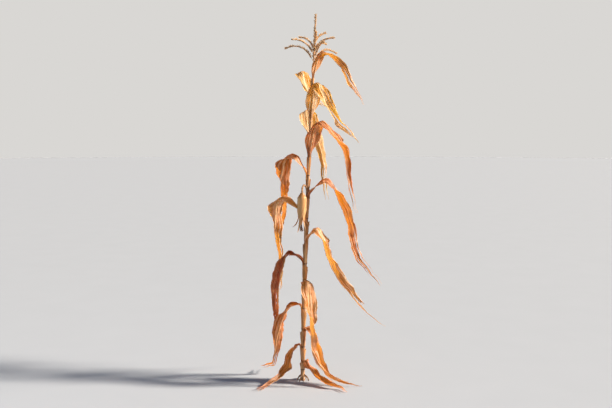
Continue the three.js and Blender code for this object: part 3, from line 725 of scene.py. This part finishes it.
section = add(silk_tree, "GeometryNodeCurvePrimitiveCircle",
              {"Resolution": 4, "Radius": given["Thread Radius"]})
tubes = add(silk_tree, "GeometryNodeCurveToMesh",
            {"Curve": sized, "Profile Curve": section, "Fill Caps": True})
end_tree(silk_tree, tubes, given["Finish"], "Silk")

# Dead silk: fine fibre, dark red brown, lighter every 6 mm or so, with a soft shine along the threads.
dead_silk = mottled("dead_silk", "#2e170b", "#7a4a26", 160, 3, (0.35, 0.65), 0.5)

nose = ear_axis(1.0) - np.array([0, 0, 2 * GAP])
share = np.linspace(0, 1, 12)
locks = []
for k in range(SILK_LOCKS):
    spread = 1.2 + SILK_SPREAD * share ** 1.4 * mix(0.3, 1, k / SILK_LOCKS)
    path = nose + outward(math.radians(GOLDEN_TURN * k) + share) * spread[:, None]
    path[:, 2] -= SILK_LENGTH * share * mix(1, 0.75, k / SILK_LOCKS)
    locks.append(path)
silk = grow("silk_threads", locks, {}, silk_tree, {
    "Threads": SILK_THREADS, "Stray": SILK_STRAY * MM, "Thread Radius": SILK_THREAD_RADIUS * MM,
    "Seed": SEED, "Finish": dead_silk})
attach(silk, "root")
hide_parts("ear_silk")

# Leaf sheaths. The lower part of every leaf is a sleeve of tough ribbed paper that wraps the stalk from
# its joint to the next, slit down the side away from the blade. As it dries its edges curl off the
# stalk. A short frayed tongue stands in the angle between the stalk and the blade.
FIRST_LEAF = 2
LONGEST_BLADE = 900
BLADE_SHORTENING = 520
WIDEST_BLADE = 100
BLADE_NARROWING = 34
LARGEST_AT = 10
LARGEST_SPAN = 8
SHEATH_WALL = 1.6
SHEATH_LOOSE = 4
SHEATH_WRAP = 158
SHEATH_FOOT = 4
SHEATH_BELOW_NODE = 10
TOP_SHEATH = 120
SHEATH_COLUMNS = 57
SHEATH_ROW = 5
SHEATH_THICKNESS = 0.7
SHEATH_RIBS = 24
SHEATH_RIB_HEIGHT = 0.22
SHEATH_CURL = 5
SHEATH_DENT = 0.5
SHOULDER_DROP = 12
TONGUE_HEIGHT = 6
TONGUE_WRAP = 68
TONGUE_COLUMNS = 41
TONGUE_ROWS = 4
# Which of its tries each leaf of the solids took; the others took their first.
TRY_TAKEN = {4: 14, 5: 1}


def leaf_habit(n):
    """How long and wide one leaf is, and how it stands, bends, falls, turns and curls, in degrees, with
    places along the blade as shares of its length."""
    attempt = TRY_TAKEN.get(n, 0)
    height = (n - FIRST_LEAF) / (STEM_NODES - FIRST_LEAF)
    from_largest = abs((n - LARGEST_AT) / LARGEST_SPAN)

    def pick(slot, low, high):
        return mix(low, high, chance(n, attempt, slot))

    beside_ear = n in (EAR_LEAF, EAR_LEAF - 1)
    turn = leaf_turn(n) + (0 if beside_ear else pick(1, -12, 12))
    downwind = (540 - turn) % 360 - 180
    return {
        "n": n,
        "height": height,
        "turn": turn,
        "length": LONGEST_BLADE - BLADE_SHORTENING * from_largest ** 1.7,
        "width": WIDEST_BLADE - BLADE_NARROWING * from_largest ** 1.5,
        "sweep": downwind * pick(2, 0.5, 0.8) * mix(0.45, 1.05, height),
        "rise": mix(42, 72, height) + pick(3, -8, 8),
        "bend_at": mix(0.06, 0.32, height) * pick(4, 0.8, 1.2),
        "bend_over": pick(5, 0.06, 0.24),
        "fall": mix(-86, -44, height ** 1.6) + pick(6, -4, 10),
        "waver": pick(7, 0, 1),
        "kink_at": pick(8, 0.5, 0.8),
        "kink": pick(9, -30, 34),
        "kink_turn": pick(10, -45, 45),
        "twist": pick(11, 45, 140) * (-1 if chance(n, attempt, 16) < 0.5 else 1),
        "fold": pick(12, 0.35, 0.75),
        "roll": pick(13, 1, 1.9),
        "ruffle": pick(14, 3, 6),
        "ruffle_length": pick(15, 120, 170),
    }


def collar_height(n):
    return node_height(n + 1) - SHEATH_BELOW_NODE if n < STEM_NODES else node_height(n) + TOP_SHEATH


def collar_radius(n):
    return float(stalk_radius(collar_height(n))) + SHEATH_LOOSE + SHEATH_WALL / 2


def wander(x, seed):
    """A smooth line between -1 and 1 that never repeats, over x in waves."""
    waves = ((1, 1, 0.5), (1.618, 2.7, 0.3), (3.33, 5.1, 0.2))
    return sum(size * np.sin(2 * math.pi * (rate * x + shift * seed)) for rate, shift, size in waves)


# Sheath leather: tougher and duller than the blades, ribbed, grey brown to tan.
sheath_leather = dry_leaf(
    "dry_sheath_leather", "#683816", "#b87c40", "#e8c492", "#d0a268", "#f0b65c", 1.9, 0.28)

leaves = [leaf_habit(n) for n in range(FIRST_LEAF, STEM_NODES + 1)]
sheets = []
for habit in leaves:
    n, turn, seed = habit["n"], habit["turn"], chance(habit["n"], 0, 80)
    open_to = EAR_SIDE_WRAP if n == EAR_LEAF else SHEATH_WRAP
    foot, mouth = node_height(n) + SHEATH_FOOT, collar_height(n)
    rows = max(6, round((mouth - foot) / SHEATH_ROW)) + 1
    share = np.linspace(0, 1, rows)[:, None]
    a = np.linspace(0, 1, SHEATH_COLUMNS)[None, :]
    run = share * (mouth - foot)
    angle = mix(-SHEATH_WRAP, open_to, a)
    shoulder = SHOULDER_DROP * smooth((np.abs(angle) - COLLAR_WRAP) / 60) * (1 + 0.4 * wander(a * 6, seed))
    z = foot + share * (mouth + GAP - shoulder - foot)
    loose = mix(0.5, SHEATH_LOOSE + SHEATH_WALL / 2, mix(share, smooth(share * 1.1), 0.75))
    at_edge = hump(np.minimum(a, 1 - a) * 2, 0, 0.14)
    curl_off = SHEATH_CURL * at_edge * share ** 1.5 * (0.5 + 0.5 * wander(share * 1.3 + a, seed + 0.4))
    root_ring = hump(run, 2.5, 2.5)
    ribs = SHEATH_RIB_HEIGHT * np.sin(2 * math.pi * SHEATH_RIBS * a + 1.5 * wander(share * 0.8, seed))
    dents = SHEATH_DENT * wander(run / 90 + a * 1.5, seed + 0.7) * share
    radius = stalk_radius(z) + loose + curl_off + root_ring + ribs + dents
    sleeve = axis_point(z) + outward(np.radians(turn + angle)) * radius[..., None]
    # The pale rib of the finish stays off the sleeve, and its pale edge is kept.
    across = np.interp(np.abs(a[0] * 2 - 1), [0, 0.1, 0.9, 1], [0.2, 0.3, 0.8, 1])
    sheets.append((sleeve.reshape(-1, 3), net(rows, SHEATH_COLUMNS), np.tile(across, rows),
                   flat(np.radians(angle) * 16 + SHEETS_APART * n, z), 0))

    b = np.linspace(-1, 1, TONGUE_COLUMNS)[None, :]
    up = np.linspace(0, 1, TONGUE_ROWS)[:, None]
    frayed = TONGUE_HEIGHT * (1 - 0.6 * b ** 2) * (0.75 + 0.35 * wander(b * 7, seed + 0.2))
    z = mouth - 2 + up * frayed
    radius = stalk_radius(mouth) + SHEATH_LOOSE - 1.2 - 1.2 * up + 0.3 * wander(b * 5, seed)
    tongue = axis_point(z) + outward(np.radians(turn + b * TONGUE_WRAP)) * radius[..., None]
    sheets.append((tongue.reshape(-1, 3), net(TONGUE_ROWS, TONGUE_COLUMNS),
                   np.full(TONGUE_ROWS * TONGUE_COLUMNS, 0.4), flat(b * 20 + SHEETS_APART * n, z), 0))
sheaths = make_sheets("sheaths", sheets, [sheath_leather], SHEATH_THICKNESS)
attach(sheaths, "root")
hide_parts(*[f"leaf_{habit['n']:02d}_sheath" for habit in leaves])

# Blades. Long straps of dead leaf, thin and crisp. Each rises from its sheath, bends over and falls,
# folded along the rib and curled in at the edges. The edges are cockled and frayed, creases run along
# the veins, and the outer part is split into ribbons with torn ends.
TIP_WIDTH_SHARE = 0.05
STEEPEST_FALL = -88
STEEPEST_RISE = 80
LYING_HEIGHT = 16
LYING_BEND = 95
KINK_OVER = 0.06
STEPS = 96
BLADE_STATION = 4
BLADE_COLUMNS = 33
RIB_COLUMN = BLADE_COLUMNS // 2
BLADE_THICKNESS = 0.45
FOLDED_WIDTH = 1.12
NECK_SHARE = 0.15
TAPER_FROM = 0.3
KEEL_DEPTH = 2.2
KEEL_HALF_WIDTH = 3
CREASE_HEIGHT = 3.0
CRUMPLE_HEIGHT = 0.7
COCKLE_HEIGHT = 1.2
COCKLE_LENGTH = 55
RUFFLE_SHARE = 0.4
LEAST_FOLD = 0.4
MOST_FOLD = 0.85
EDGE_ROLL = 1.1
BEND_DROOP = 0.22
EDGE_DROOP = 1.1
BEND_PINCH = 0.12
STEEPEST_SECTION = 1.8
# Where a line below divides the run by a number, that is the length of a wave along the blade. Next
# come the creases over the bend, as shares of it, and how far apart the others are, as shares of the blade.
BEND_CREASES = np.array([-0.55, -0.22, 0.1, 0.35, 0.7])
CREASE_SPACING = (0.09, 0.24)
STRAIGHTENED = 0.6
DRYING_TURN = 9
DRYING_WAVE = 2
TIP_WINDING = 2.5
WINDING_LENGTH = 13
LOWEST_RIB = 4
SETTLED = 11
ROOTED_IN = 3
EDGE_TEARS = 7
EDGE_TEAR_RISE = 7
RIBBON_STRAY = 32.5
RIBBON_TURN = 70
RIB_FOOT_RADIUS = 2.3
RIB_TIP_RADIUS = 0.5
RIB_GROWN_BY = 0.07
RIB_ENDS = 0.8
RIB_SIDES = 8
SPLIT_FROM = 0.12


def blade_climb(habit, s, z):
    bend = smooth((s - habit["bend_at"]) / habit["bend_over"] + 0.5)
    kink = habit["kink"] * smooth((s - habit["kink_at"]) / KINK_OVER + 0.5)
    waver = 7 * smooth(s / 0.15) * math.sin(2 * math.pi * (2.2 * s + habit["waver"]))
    free = np.clip(mix(habit["rise"], habit["fall"], bend) + kink + waver, STEEPEST_FALL, STEEPEST_RISE)
    lowest = -math.degrees(math.asin(np.clip((z - LYING_HEIGHT) / LYING_BEND, 0, 1)))
    return math.radians(max(mix(90, free, smooth(s / 0.045)), lowest))


def blade_turn(habit, s):
    sweep = habit["sweep"] * smooth((s - 0.05) / 0.6)
    kink = habit["kink_turn"] * smooth((s - habit["kink_at"]) / KINK_OVER + 0.5)
    waver = 9 * smooth(s / 0.15) * math.sin(2 * math.pi * (1.4 * s + 3 * habit["waver"]))
    return math.radians(habit["turn"] + sweep + kink + waver)


def walk_midrib(habit):
    """The rib's path in equal steps, with the blade's side and upper face at each, as in the solids."""
    point = axis_point(collar_height(habit["n"]) + GAP)
    point = point + outward(math.radians(habit["turn"])) * collar_radius(habit["n"])
    steps = []
    for k in range(STEPS + 1):
        s = k / STEPS
        turn = blade_turn(habit, s)
        along = heading(blade_climb(habit, s, point[2]), turn)
        level = outward(turn + math.pi / 2)
        face = np.cross(along, level)
        hanging = smooth((point[2] - LYING_HEIGHT) / LYING_BEND)
        roll = math.radians(habit["twist"] * smooth((s - habit["bend_at"]) / 0.75) * hanging)
        steps.append((point, *rolled(level, face, roll)))
        point = point + along * habit["length"] / STEPS
    return zip(*steps)


def dried_path(habit, s, run, free, seed):
    """The rib's path as the blade dried: straight between creases, several of them close together over
    the bend, with small waves and turns, wound up at the tip, and settled on the ground where it is low."""
    over_bend = habit["bend_at"] + habit["bend_over"] * BEND_CREASES
    creases, k = [c for c in over_bend if c > 0.05], 0
    while creases[-1] < 1:
        creases.append(creases[-1] + mix(*CREASE_SPACING, chance(habit["n"], k, 95)))
        k += 1
    creases = np.array([0, 0.025, 0.05, *creases[:-1], 1])
    straight = STRAIGHTENED * smooth((s - 0.04) / 0.05)
    place, side, up = (
        mix(between(v, s[:, 0]),
            np.stack([np.interp(s[:, 0], creases, c) for c in between(v, creases).T], -1), straight)
        for v in walk_midrib(habit))
    side, up = (v / np.linalg.norm(v, axis=-1, keepdims=True) for v in (side, up))
    side, up = rolled(side, up, math.radians(DRYING_TURN) * free * wander(run / 240, seed + 0.15))
    winding = TIP_WINDING * smooth((s - 0.74) / 0.26)
    place = (place + up * free * DRYING_WAVE * wander(run / 105, seed + 0.35)
             + side * free * DRYING_WAVE * wander(run / 130, seed + 0.65)
             + (side * np.cos(run / WINDING_LENGTH) + up * np.sin(run / WINDING_LENGTH)) * winding)
    place[0, 2] -= ROOTED_IN
    low = place[:, 2]
    settled = SETTLED * smooth((LYING_HEIGHT + LYING_BEND - low) / LYING_BEND)
    place[:, 2] = np.maximum(low - settled, LOWEST_RIB)
    return place, side, up


def frayed_columns(n, run, length, free, shabby):
    """Where the columns of points lie across the blade, from edge to edge and closer at the rib. They
    stop short where the edge is frayed, or torn and then healed again further on."""
    even = np.linspace(-1, 1, BLADE_COLUMNS)[None, :]
    column = even * mix(0.72, 1, np.abs(even))
    frays = []
    for edge in (0, 1):
        torn = 0 * run
        for k in range(round(EDGE_TEARS * shabby)):
            past = run - length * mix(0.15, 0.98, chance(n, k, 96 + edge))
            tear = mix(0.06, 0.32, chance(n, k, 98 + edge) ** 2)
            healing = mix(15, 120, chance(n, k, 100 + edge))
            tear = tear * np.clip(past / EDGE_TEAR_RISE, 0, 1) * np.clip(1 - past / healing, 0, 1)
            torn = np.maximum(torn, tear)
        fine = 0.02 * np.abs(wander(run / 19, chance(n, edge, 82)))
        frays.append(1 - free * (fine + torn))
    return column * np.where(column < 0, *frays)


def curled_section(habit, s, run, free, a, half, seed):
    """The section at each station, across and up from the rib: folded along the rib, in places nearly
    shut, arched on either side of it and rolled in along the edges, which hang down at the bend."""
    narrow = half / (WIDEST_BLADE / 2)
    shut = smooth(0.5 + 0.8 * wander(run / 290, seed + 0.9))
    bend = hump(s, habit["bend_at"], 0.8 * habit["bend_over"])
    drooped = bend * smooth((s - 0.03) / 0.06)
    fold = mix(LEAST_FOLD, MOST_FOLD, shut) * free * (1 - bend) - BEND_DROOP * drooped
    folded = mix(habit["fold"], habit["roll"], smooth((s - 0.35) / 0.65))
    open_at_bend = 0.7 * hump(s, habit["bend_at"], 0.6 * habit["bend_over"])
    arc = mix(math.radians(COLLAR_WRAP), folded * (1 - open_at_bend), smooth(s / 0.1))
    arch = np.maximum(arc - fold, 0.1) * (1 - 0.6 * bend) - EDGE_DROOP * drooped

    def slope(across):
        out = np.abs(across)
        curl_in = EDGE_ROLL * free * (0.5 + 0.5 * wander(run / 230 + 0.3 * np.sign(across), seed))
        curl_in = curl_in * (1 - 0.6 * shut) * smooth((out - 0.5) / 0.5) ** 2
        return np.sign(across) * np.minimum(fold + out * arch + curl_in, STEEPEST_SECTION)

    steep, widths = slope((a[:, 1:] + a[:, :-1]) / 2), half * np.diff(a, axis=1)
    x, y = (np.hstack([0 * s, np.cumsum(v * widths, axis=1)]) for v in (np.cos(steep), np.sin(steep)))
    x, y = x - x[:, [RIB_COLUMN]], y - y[:, [RIB_COLUMN]]
    waves = run / habit["ruffle_length"] + habit["waver"] + 0.3 * np.sign(a)
    loose = smooth((s - 0.12) / 0.2) * smooth((1 - s) / 0.3)
    y = y + RUFFLE_SHARE * habit["ruffle"] * a * a * loose * np.sin(2 * math.pi * waves)

    # Relief along the section's own normal: keel, creases along the veins, crumples, cockled edges.
    def creased(x):
        return 4 * np.abs(x - np.floor(x + 0.5)) - 1

    keel = -KEEL_DEPTH * smooth(s / RIB_GROWN_BY) * (1 - 0.8 * s) * hump(a * half, 0, KEEL_HALF_WIDTH)
    fold_lines = (creased(a * 1.6 + 0.55 * wander(run / 420, seed))
                  * smooth(0.5 + wander(run / 260, seed + 0.2))
                  + 0.5 * creased(a * 3.4 + 0.4 * wander(run / 300, seed + 0.5)))
    crumple = (wander(run / 75 + a * 0.9, seed + 0.1) * np.cos(2.6 * a + 9 * seed)
               + 0.6 * wander(run / 41 - a * 1.3, seed + 0.6))
    cockle = wander(run / COCKLE_LENGTH + 0.35 * np.sign(a), seed + 0.8) * np.abs(a) ** 3
    lift = (keel + free * narrow * (CREASE_HEIGHT * fold_lines * np.minimum(np.abs(a) * 4, 1)
                                    + CRUMPLE_HEIGHT * crumple + COCKLE_HEIGHT * cockle * loose))
    theta = slope(a)
    return x - lift * np.sin(theta), y + lift * np.cos(theta)


def grow_blade(habit):
    """One blade as a sheet, the path of its rib, and the upper face along it."""
    n, length, seed = habit["n"], habit["length"], chance(habit["n"], 0, 84)
    shabby = mix(0.95, 0.35, habit["height"]) * mix(0.7, 1.2, chance(n, 0, 81))
    stations = round(length / BLADE_STATION) + 1
    s = np.linspace(0, 1, stations)[:, None]
    run, free = s * length, smooth((s - 0.1) / 0.2)
    place, side, up = dried_path(habit, s, run, free, seed)

    # Half the width, after the solids. A folded blade is cut wider than the flatter solid, and opens
    # sooner from its neck.
    neck = collar_radius(n) * math.radians(COLLAR_WRAP)
    taper = 1 - (np.maximum(s - TAPER_FROM, 0) / (1 - TAPER_FROM)) ** 1.9
    pinched = 1 - BEND_PINCH * hump(s, habit["bend_at"], 0.8 * habit["bend_over"])
    half = mix(neck, FOLDED_WIDTH * habit["width"] / 2, smooth(s / NECK_SHARE))
    half = half * np.maximum(taper, TIP_WIDTH_SHARE) * pinched
    a = frayed_columns(n, run, length, free, shabby)
    x, y = curled_section(habit, s, run, free, a, half, seed)

    # Splits run along the veins from a start to the tip and part the blade into ribbons.
    splits = []
    for j in range(round(1 + 2.6 * shabby)):
        column_at = int(mix(4, BLADE_COLUMNS - 5, chance(n, j, 85)))
        if all(abs(column_at - c) > 3 for c, _ in splits):
            splits.append((column_at, mix(0.5, 0.86, chance(n, j, 86) ** (0.6 + shabby))))
    bounds = [(0, 0.0), *sorted(splits), (BLADE_COLUMNS - 1, 0.0)]
    left_ids = np.arange(stations * BLADE_COLUMNS).reshape(stations, BLADE_COLUMNS)
    right_ids = left_ids.copy()
    whole, lie = off_path(place, side, up, x, y), flat(a * half + SHEETS_APART * n, run)
    moved, outer = whole.copy(), np.abs(a)
    torn_off, made, across, lies = np.zeros((stations - 1, BLADE_COLUMNS - 1), bool), [], [], []
    for r, ((first, start_a), (last, start_b)) in enumerate(zip(bounds, bounds[1:])):
        start, own = max(start_a, start_b), chance(n, r, 87)
        q, stray = np.clip((s - start) / (1 - start), 0, 1), RIBBON_STRAY * (1 - start)
        aside = stray * (chance(n, r, 88) - 0.5 + 0.7 * (r - (len(bounds) - 2) / 2)) * q ** 1.4
        away = stray * (chance(n, r, 89) - 0.5) * 1.6 * q ** 1.3 + 2 * q * wander(q * 1.3, own)
        turned = math.radians(RIBBON_TURN) * (chance(n, r, 90) - 0.5) * 2 * q ** 1.2
        cells, middle = slice(first, last + 1), [(first + last) // 2]
        narrowed = 1 - 0.3 * np.minimum(q * 5, 1)
        dx, dy = ((v[:, cells] - v[:, middle]) * narrowed for v in (x, y))
        dx, dy = rolled(dx, dy, -turned)
        ribbon = off_path(place, side, up, x[:, middle] + aside + dx, y[:, middle] + away + dy)
        ribbon[..., 2] = np.maximum(ribbon[..., 2], np.minimum(whole[:, cells, 2], LOWEST_RIB))
        own_from = 1 if r else 0
        moved[:, first + own_from:last + 1] = ribbon[:, own_from:]
        if r:
            parted = np.flatnonzero(s[:, 0] > start_a)
            left_ids[parted, first] = whole[..., 0].size + sum(map(len, made)) + np.arange(len(parted))
            made.append(ribbon[parted, 0])
            across.append(outer[parted, first])
            lies.append(lie.reshape(stations, BLADE_COLUMNS, 2)[parted, first])
        if chance(n, r, 91) < 0.75 * shabby and r in (0, len(bounds) - 2):
            torn_at = mix(start, 1, mix(0.25, 0.9, chance(n, r, 92)))
            jag = 0.035 * wander(np.arange(first, last) / 3.1, own)
            torn_off[:, first:last] |= s[1:] >= torn_at + jag[None, :]
    corners = np.stack([left_ids[:-1, :-1], right_ids[:-1, 1:], right_ids[1:, 1:], left_ids[1:, :-1]], -1)
    points, across, lies = (np.concatenate(v) for v in (
        [moved.reshape(-1, 3), *made], [outer.ravel(), *across], [lie, *lies]))
    used, faces = np.unique(corners[~torn_off], return_inverse=True)
    return (points[used], faces.reshape(-1, 4), across[used], lies[used]), moved[:, RIB_COLUMN], up


# Dead blades in four shades that are dealt out by leaf, red brown at the foot and straw at the top. The
# dark red
# # brown of the low leaves is partly weathering and partly painted shade, and the deep saturated middle and
# dark
# # tones of all four finishes are partly painted shade of the leaves on one another.
blade_finishes = [
    dry_leaf("russet_dead_blade_and_painted_shade", "#321004", "#7c2e08", "#e2b484", "#d6a474", "#eda044", 2.2, 0.56),
    dry_leaf("amber_dead_blade", "#522206", "#a64c0c", "#f8e2c0", "#e6c290", "#fdc850", 2.2, 0.6),
    dry_leaf("tan_dead_blade", "#66320e", "#bc7024", "#fff4e0", "#eed4a8", "#fed668", 2.2, 0.58),
    dry_leaf("straw_dead_blade", "#7c4818", "#d2943c", "#fffcf0", "#f4e2bc", "#fee080", 2.2, 0.57),
]
SHADE_BY_HEIGHT = 0.55
SHADE_STRAY = 1.6
# Dead rib: the blade's stout midrib, smooth and paler than the leaf on both sides of it, in tones that
# change every 20 mm or so.
rib_cane = mottled("dead_rib", "#dcb98a", "#a8713f", 45, 4, (0.38, 0.66), 0.5, (0.4, 0.0005))

rib_paths, rib_thick = [], []
for name, low, high in (("foot_blades", 2, 6), ("middle_blades", 7, 11), ("upper_blades", 12, 16)):
    sheets, nodes = [], []
    for habit in leaves[low - FIRST_LEAF:high - FIRST_LEAF + 1]:
        n = habit["n"]
        sheet, rib, up = grow_blade(habit)
        # Low leaves get the darker finishes: partly weathering, partly painted shade.
        by_height = mix(chance(n, 0, 93), habit["height"], SHADE_BY_HEIGHT)
        shade = len(blade_finishes) * by_height + SHADE_STRAY * (chance(n, 0, 94) - 0.5)
        sheets.append((*sheet, int(np.clip(shade, 0, 3))))
        ends = ("blade",) if habit["bend_at"] < SPLIT_FROM else ("rise", "fall")
        nodes += [f"leaf_{n:02d}_{end}" for end in ends]
        s = np.linspace(0, 1, len(rib))
        s = s[s < RIB_ENDS]
        grown = mix(0.3, 1, smooth(s / RIB_GROWN_BY))
        thickness = mix(RIB_FOOT_RADIUS, RIB_TIP_RADIUS, s / RIB_ENDS) * grown
        rib_paths.append(rib[:len(s)] - up[:len(s)] * (0.75 * thickness)[:, None])
        rib_thick.append(thickness * MM)
    blades = make_sheets(name, sheets, blade_finishes, BLADE_THICKNESS)
    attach(blades, "root")
    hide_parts(*nodes)
midribs = grow("midribs", rib_paths, {"thick": np.concatenate(rib_thick)}, rods,
               {"Sides": RIB_SIDES, "Finish": rib_cane})
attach(midribs, "root")

# Studio. A plain pale floor, a low warm lamp on the right of the picture, which shines through the leaves
# as the sun does along the row, a wide cool lamp in front on the left, and a surround that is pale to the
# height of the view and dimmer overhead. The floor is so wide that its edge is at eye level.
FLOOR_RADIUS = 50000
FLOOR_SIDES = 96

floor_finish = mottled("pale_matt_floor", "#a4a8ae", "#a8acb2", 3, 4, (0, 1), 0.9)
floor_turns = np.arange(FLOOR_SIDES) * 2 * math.pi / FLOOR_SIDES
floor = make_piece("floor", outward(floor_turns) * FLOOR_RADIUS, [range(FLOOR_SIDES)], [floor_finish])


def set_up(name, what, place, direction):
    """Stands a lamp or a camera at a place, and points it."""
    holder = bpy.data.objects.new(name, what)
    bpy.context.scene.collection.objects.link(holder)
    holder.location = place
    holder.rotation_mode = "QUATERNION"
    holder.rotation_quaternion = Vector(direction).to_track_quat("-Z", "Y")
    return holder


low_sun = bpy.data.lights.new("low_sun", "SUN")
low_sun.energy, low_sun.angle, low_sun.color = 10.5, math.radians(8), linear("#fff5e6")[:3]
set_up("low_sun", low_sun, (0, 0, 0), (-0.86, 0.06, -0.46))
front_lamp = bpy.data.lights.new("front_lamp", "AREA")
front_lamp.shape, front_lamp.size = "DISK", 2.6
front_lamp.energy, front_lamp.color = 30, linear("#e2eaff")[:3]
set_up("front_lamp", front_lamp, (-2.4, -3.6, 2.4), (2.4, 3.6, -1.4))

surround = bpy.data.worlds.new("pale_surround")
surround.use_nodes = True
tree = surround.node_tree
tree.nodes.clear()
facing = add(tree, "ShaderNodeTexCoord", out="Generated")
level = add(tree, "ShaderNodeSeparateXYZ", {"Vector": facing}, out="Z")
tone = laid_over(tree, "#d9d7d4", [(level, 0.2, 0.36, 0, 1, "#4c5a74")])
glow = add(tree, "ShaderNodeBackground", {"Color": tone, "Strength": 1.0})
add(tree, "ShaderNodeOutputWorld", {"Surface": glow})
bpy.context.scene.world = surround
bpy.context.scene.view_settings.view_transform = "Standard"

# Camera. At the photograph's angle: looking level along the row from the plant's front, tipped a few
# degrees down.
CAMERA_DISTANCE = 4.6
CAMERA_ELEVATION = 5
AIM = Vector((0.02, 0, 1.06))

camera = bpy.data.cameras.new("camera")
camera.sensor_width, camera.lens, camera.clip_end = 36, 46, 120
tip = math.radians(CAMERA_ELEVATION)
back = Vector((0, -math.cos(tip), math.sin(tip))) * CAMERA_DISTANCE
bpy.context.scene.camera = set_up("camera", camera, AIM + back, -back)
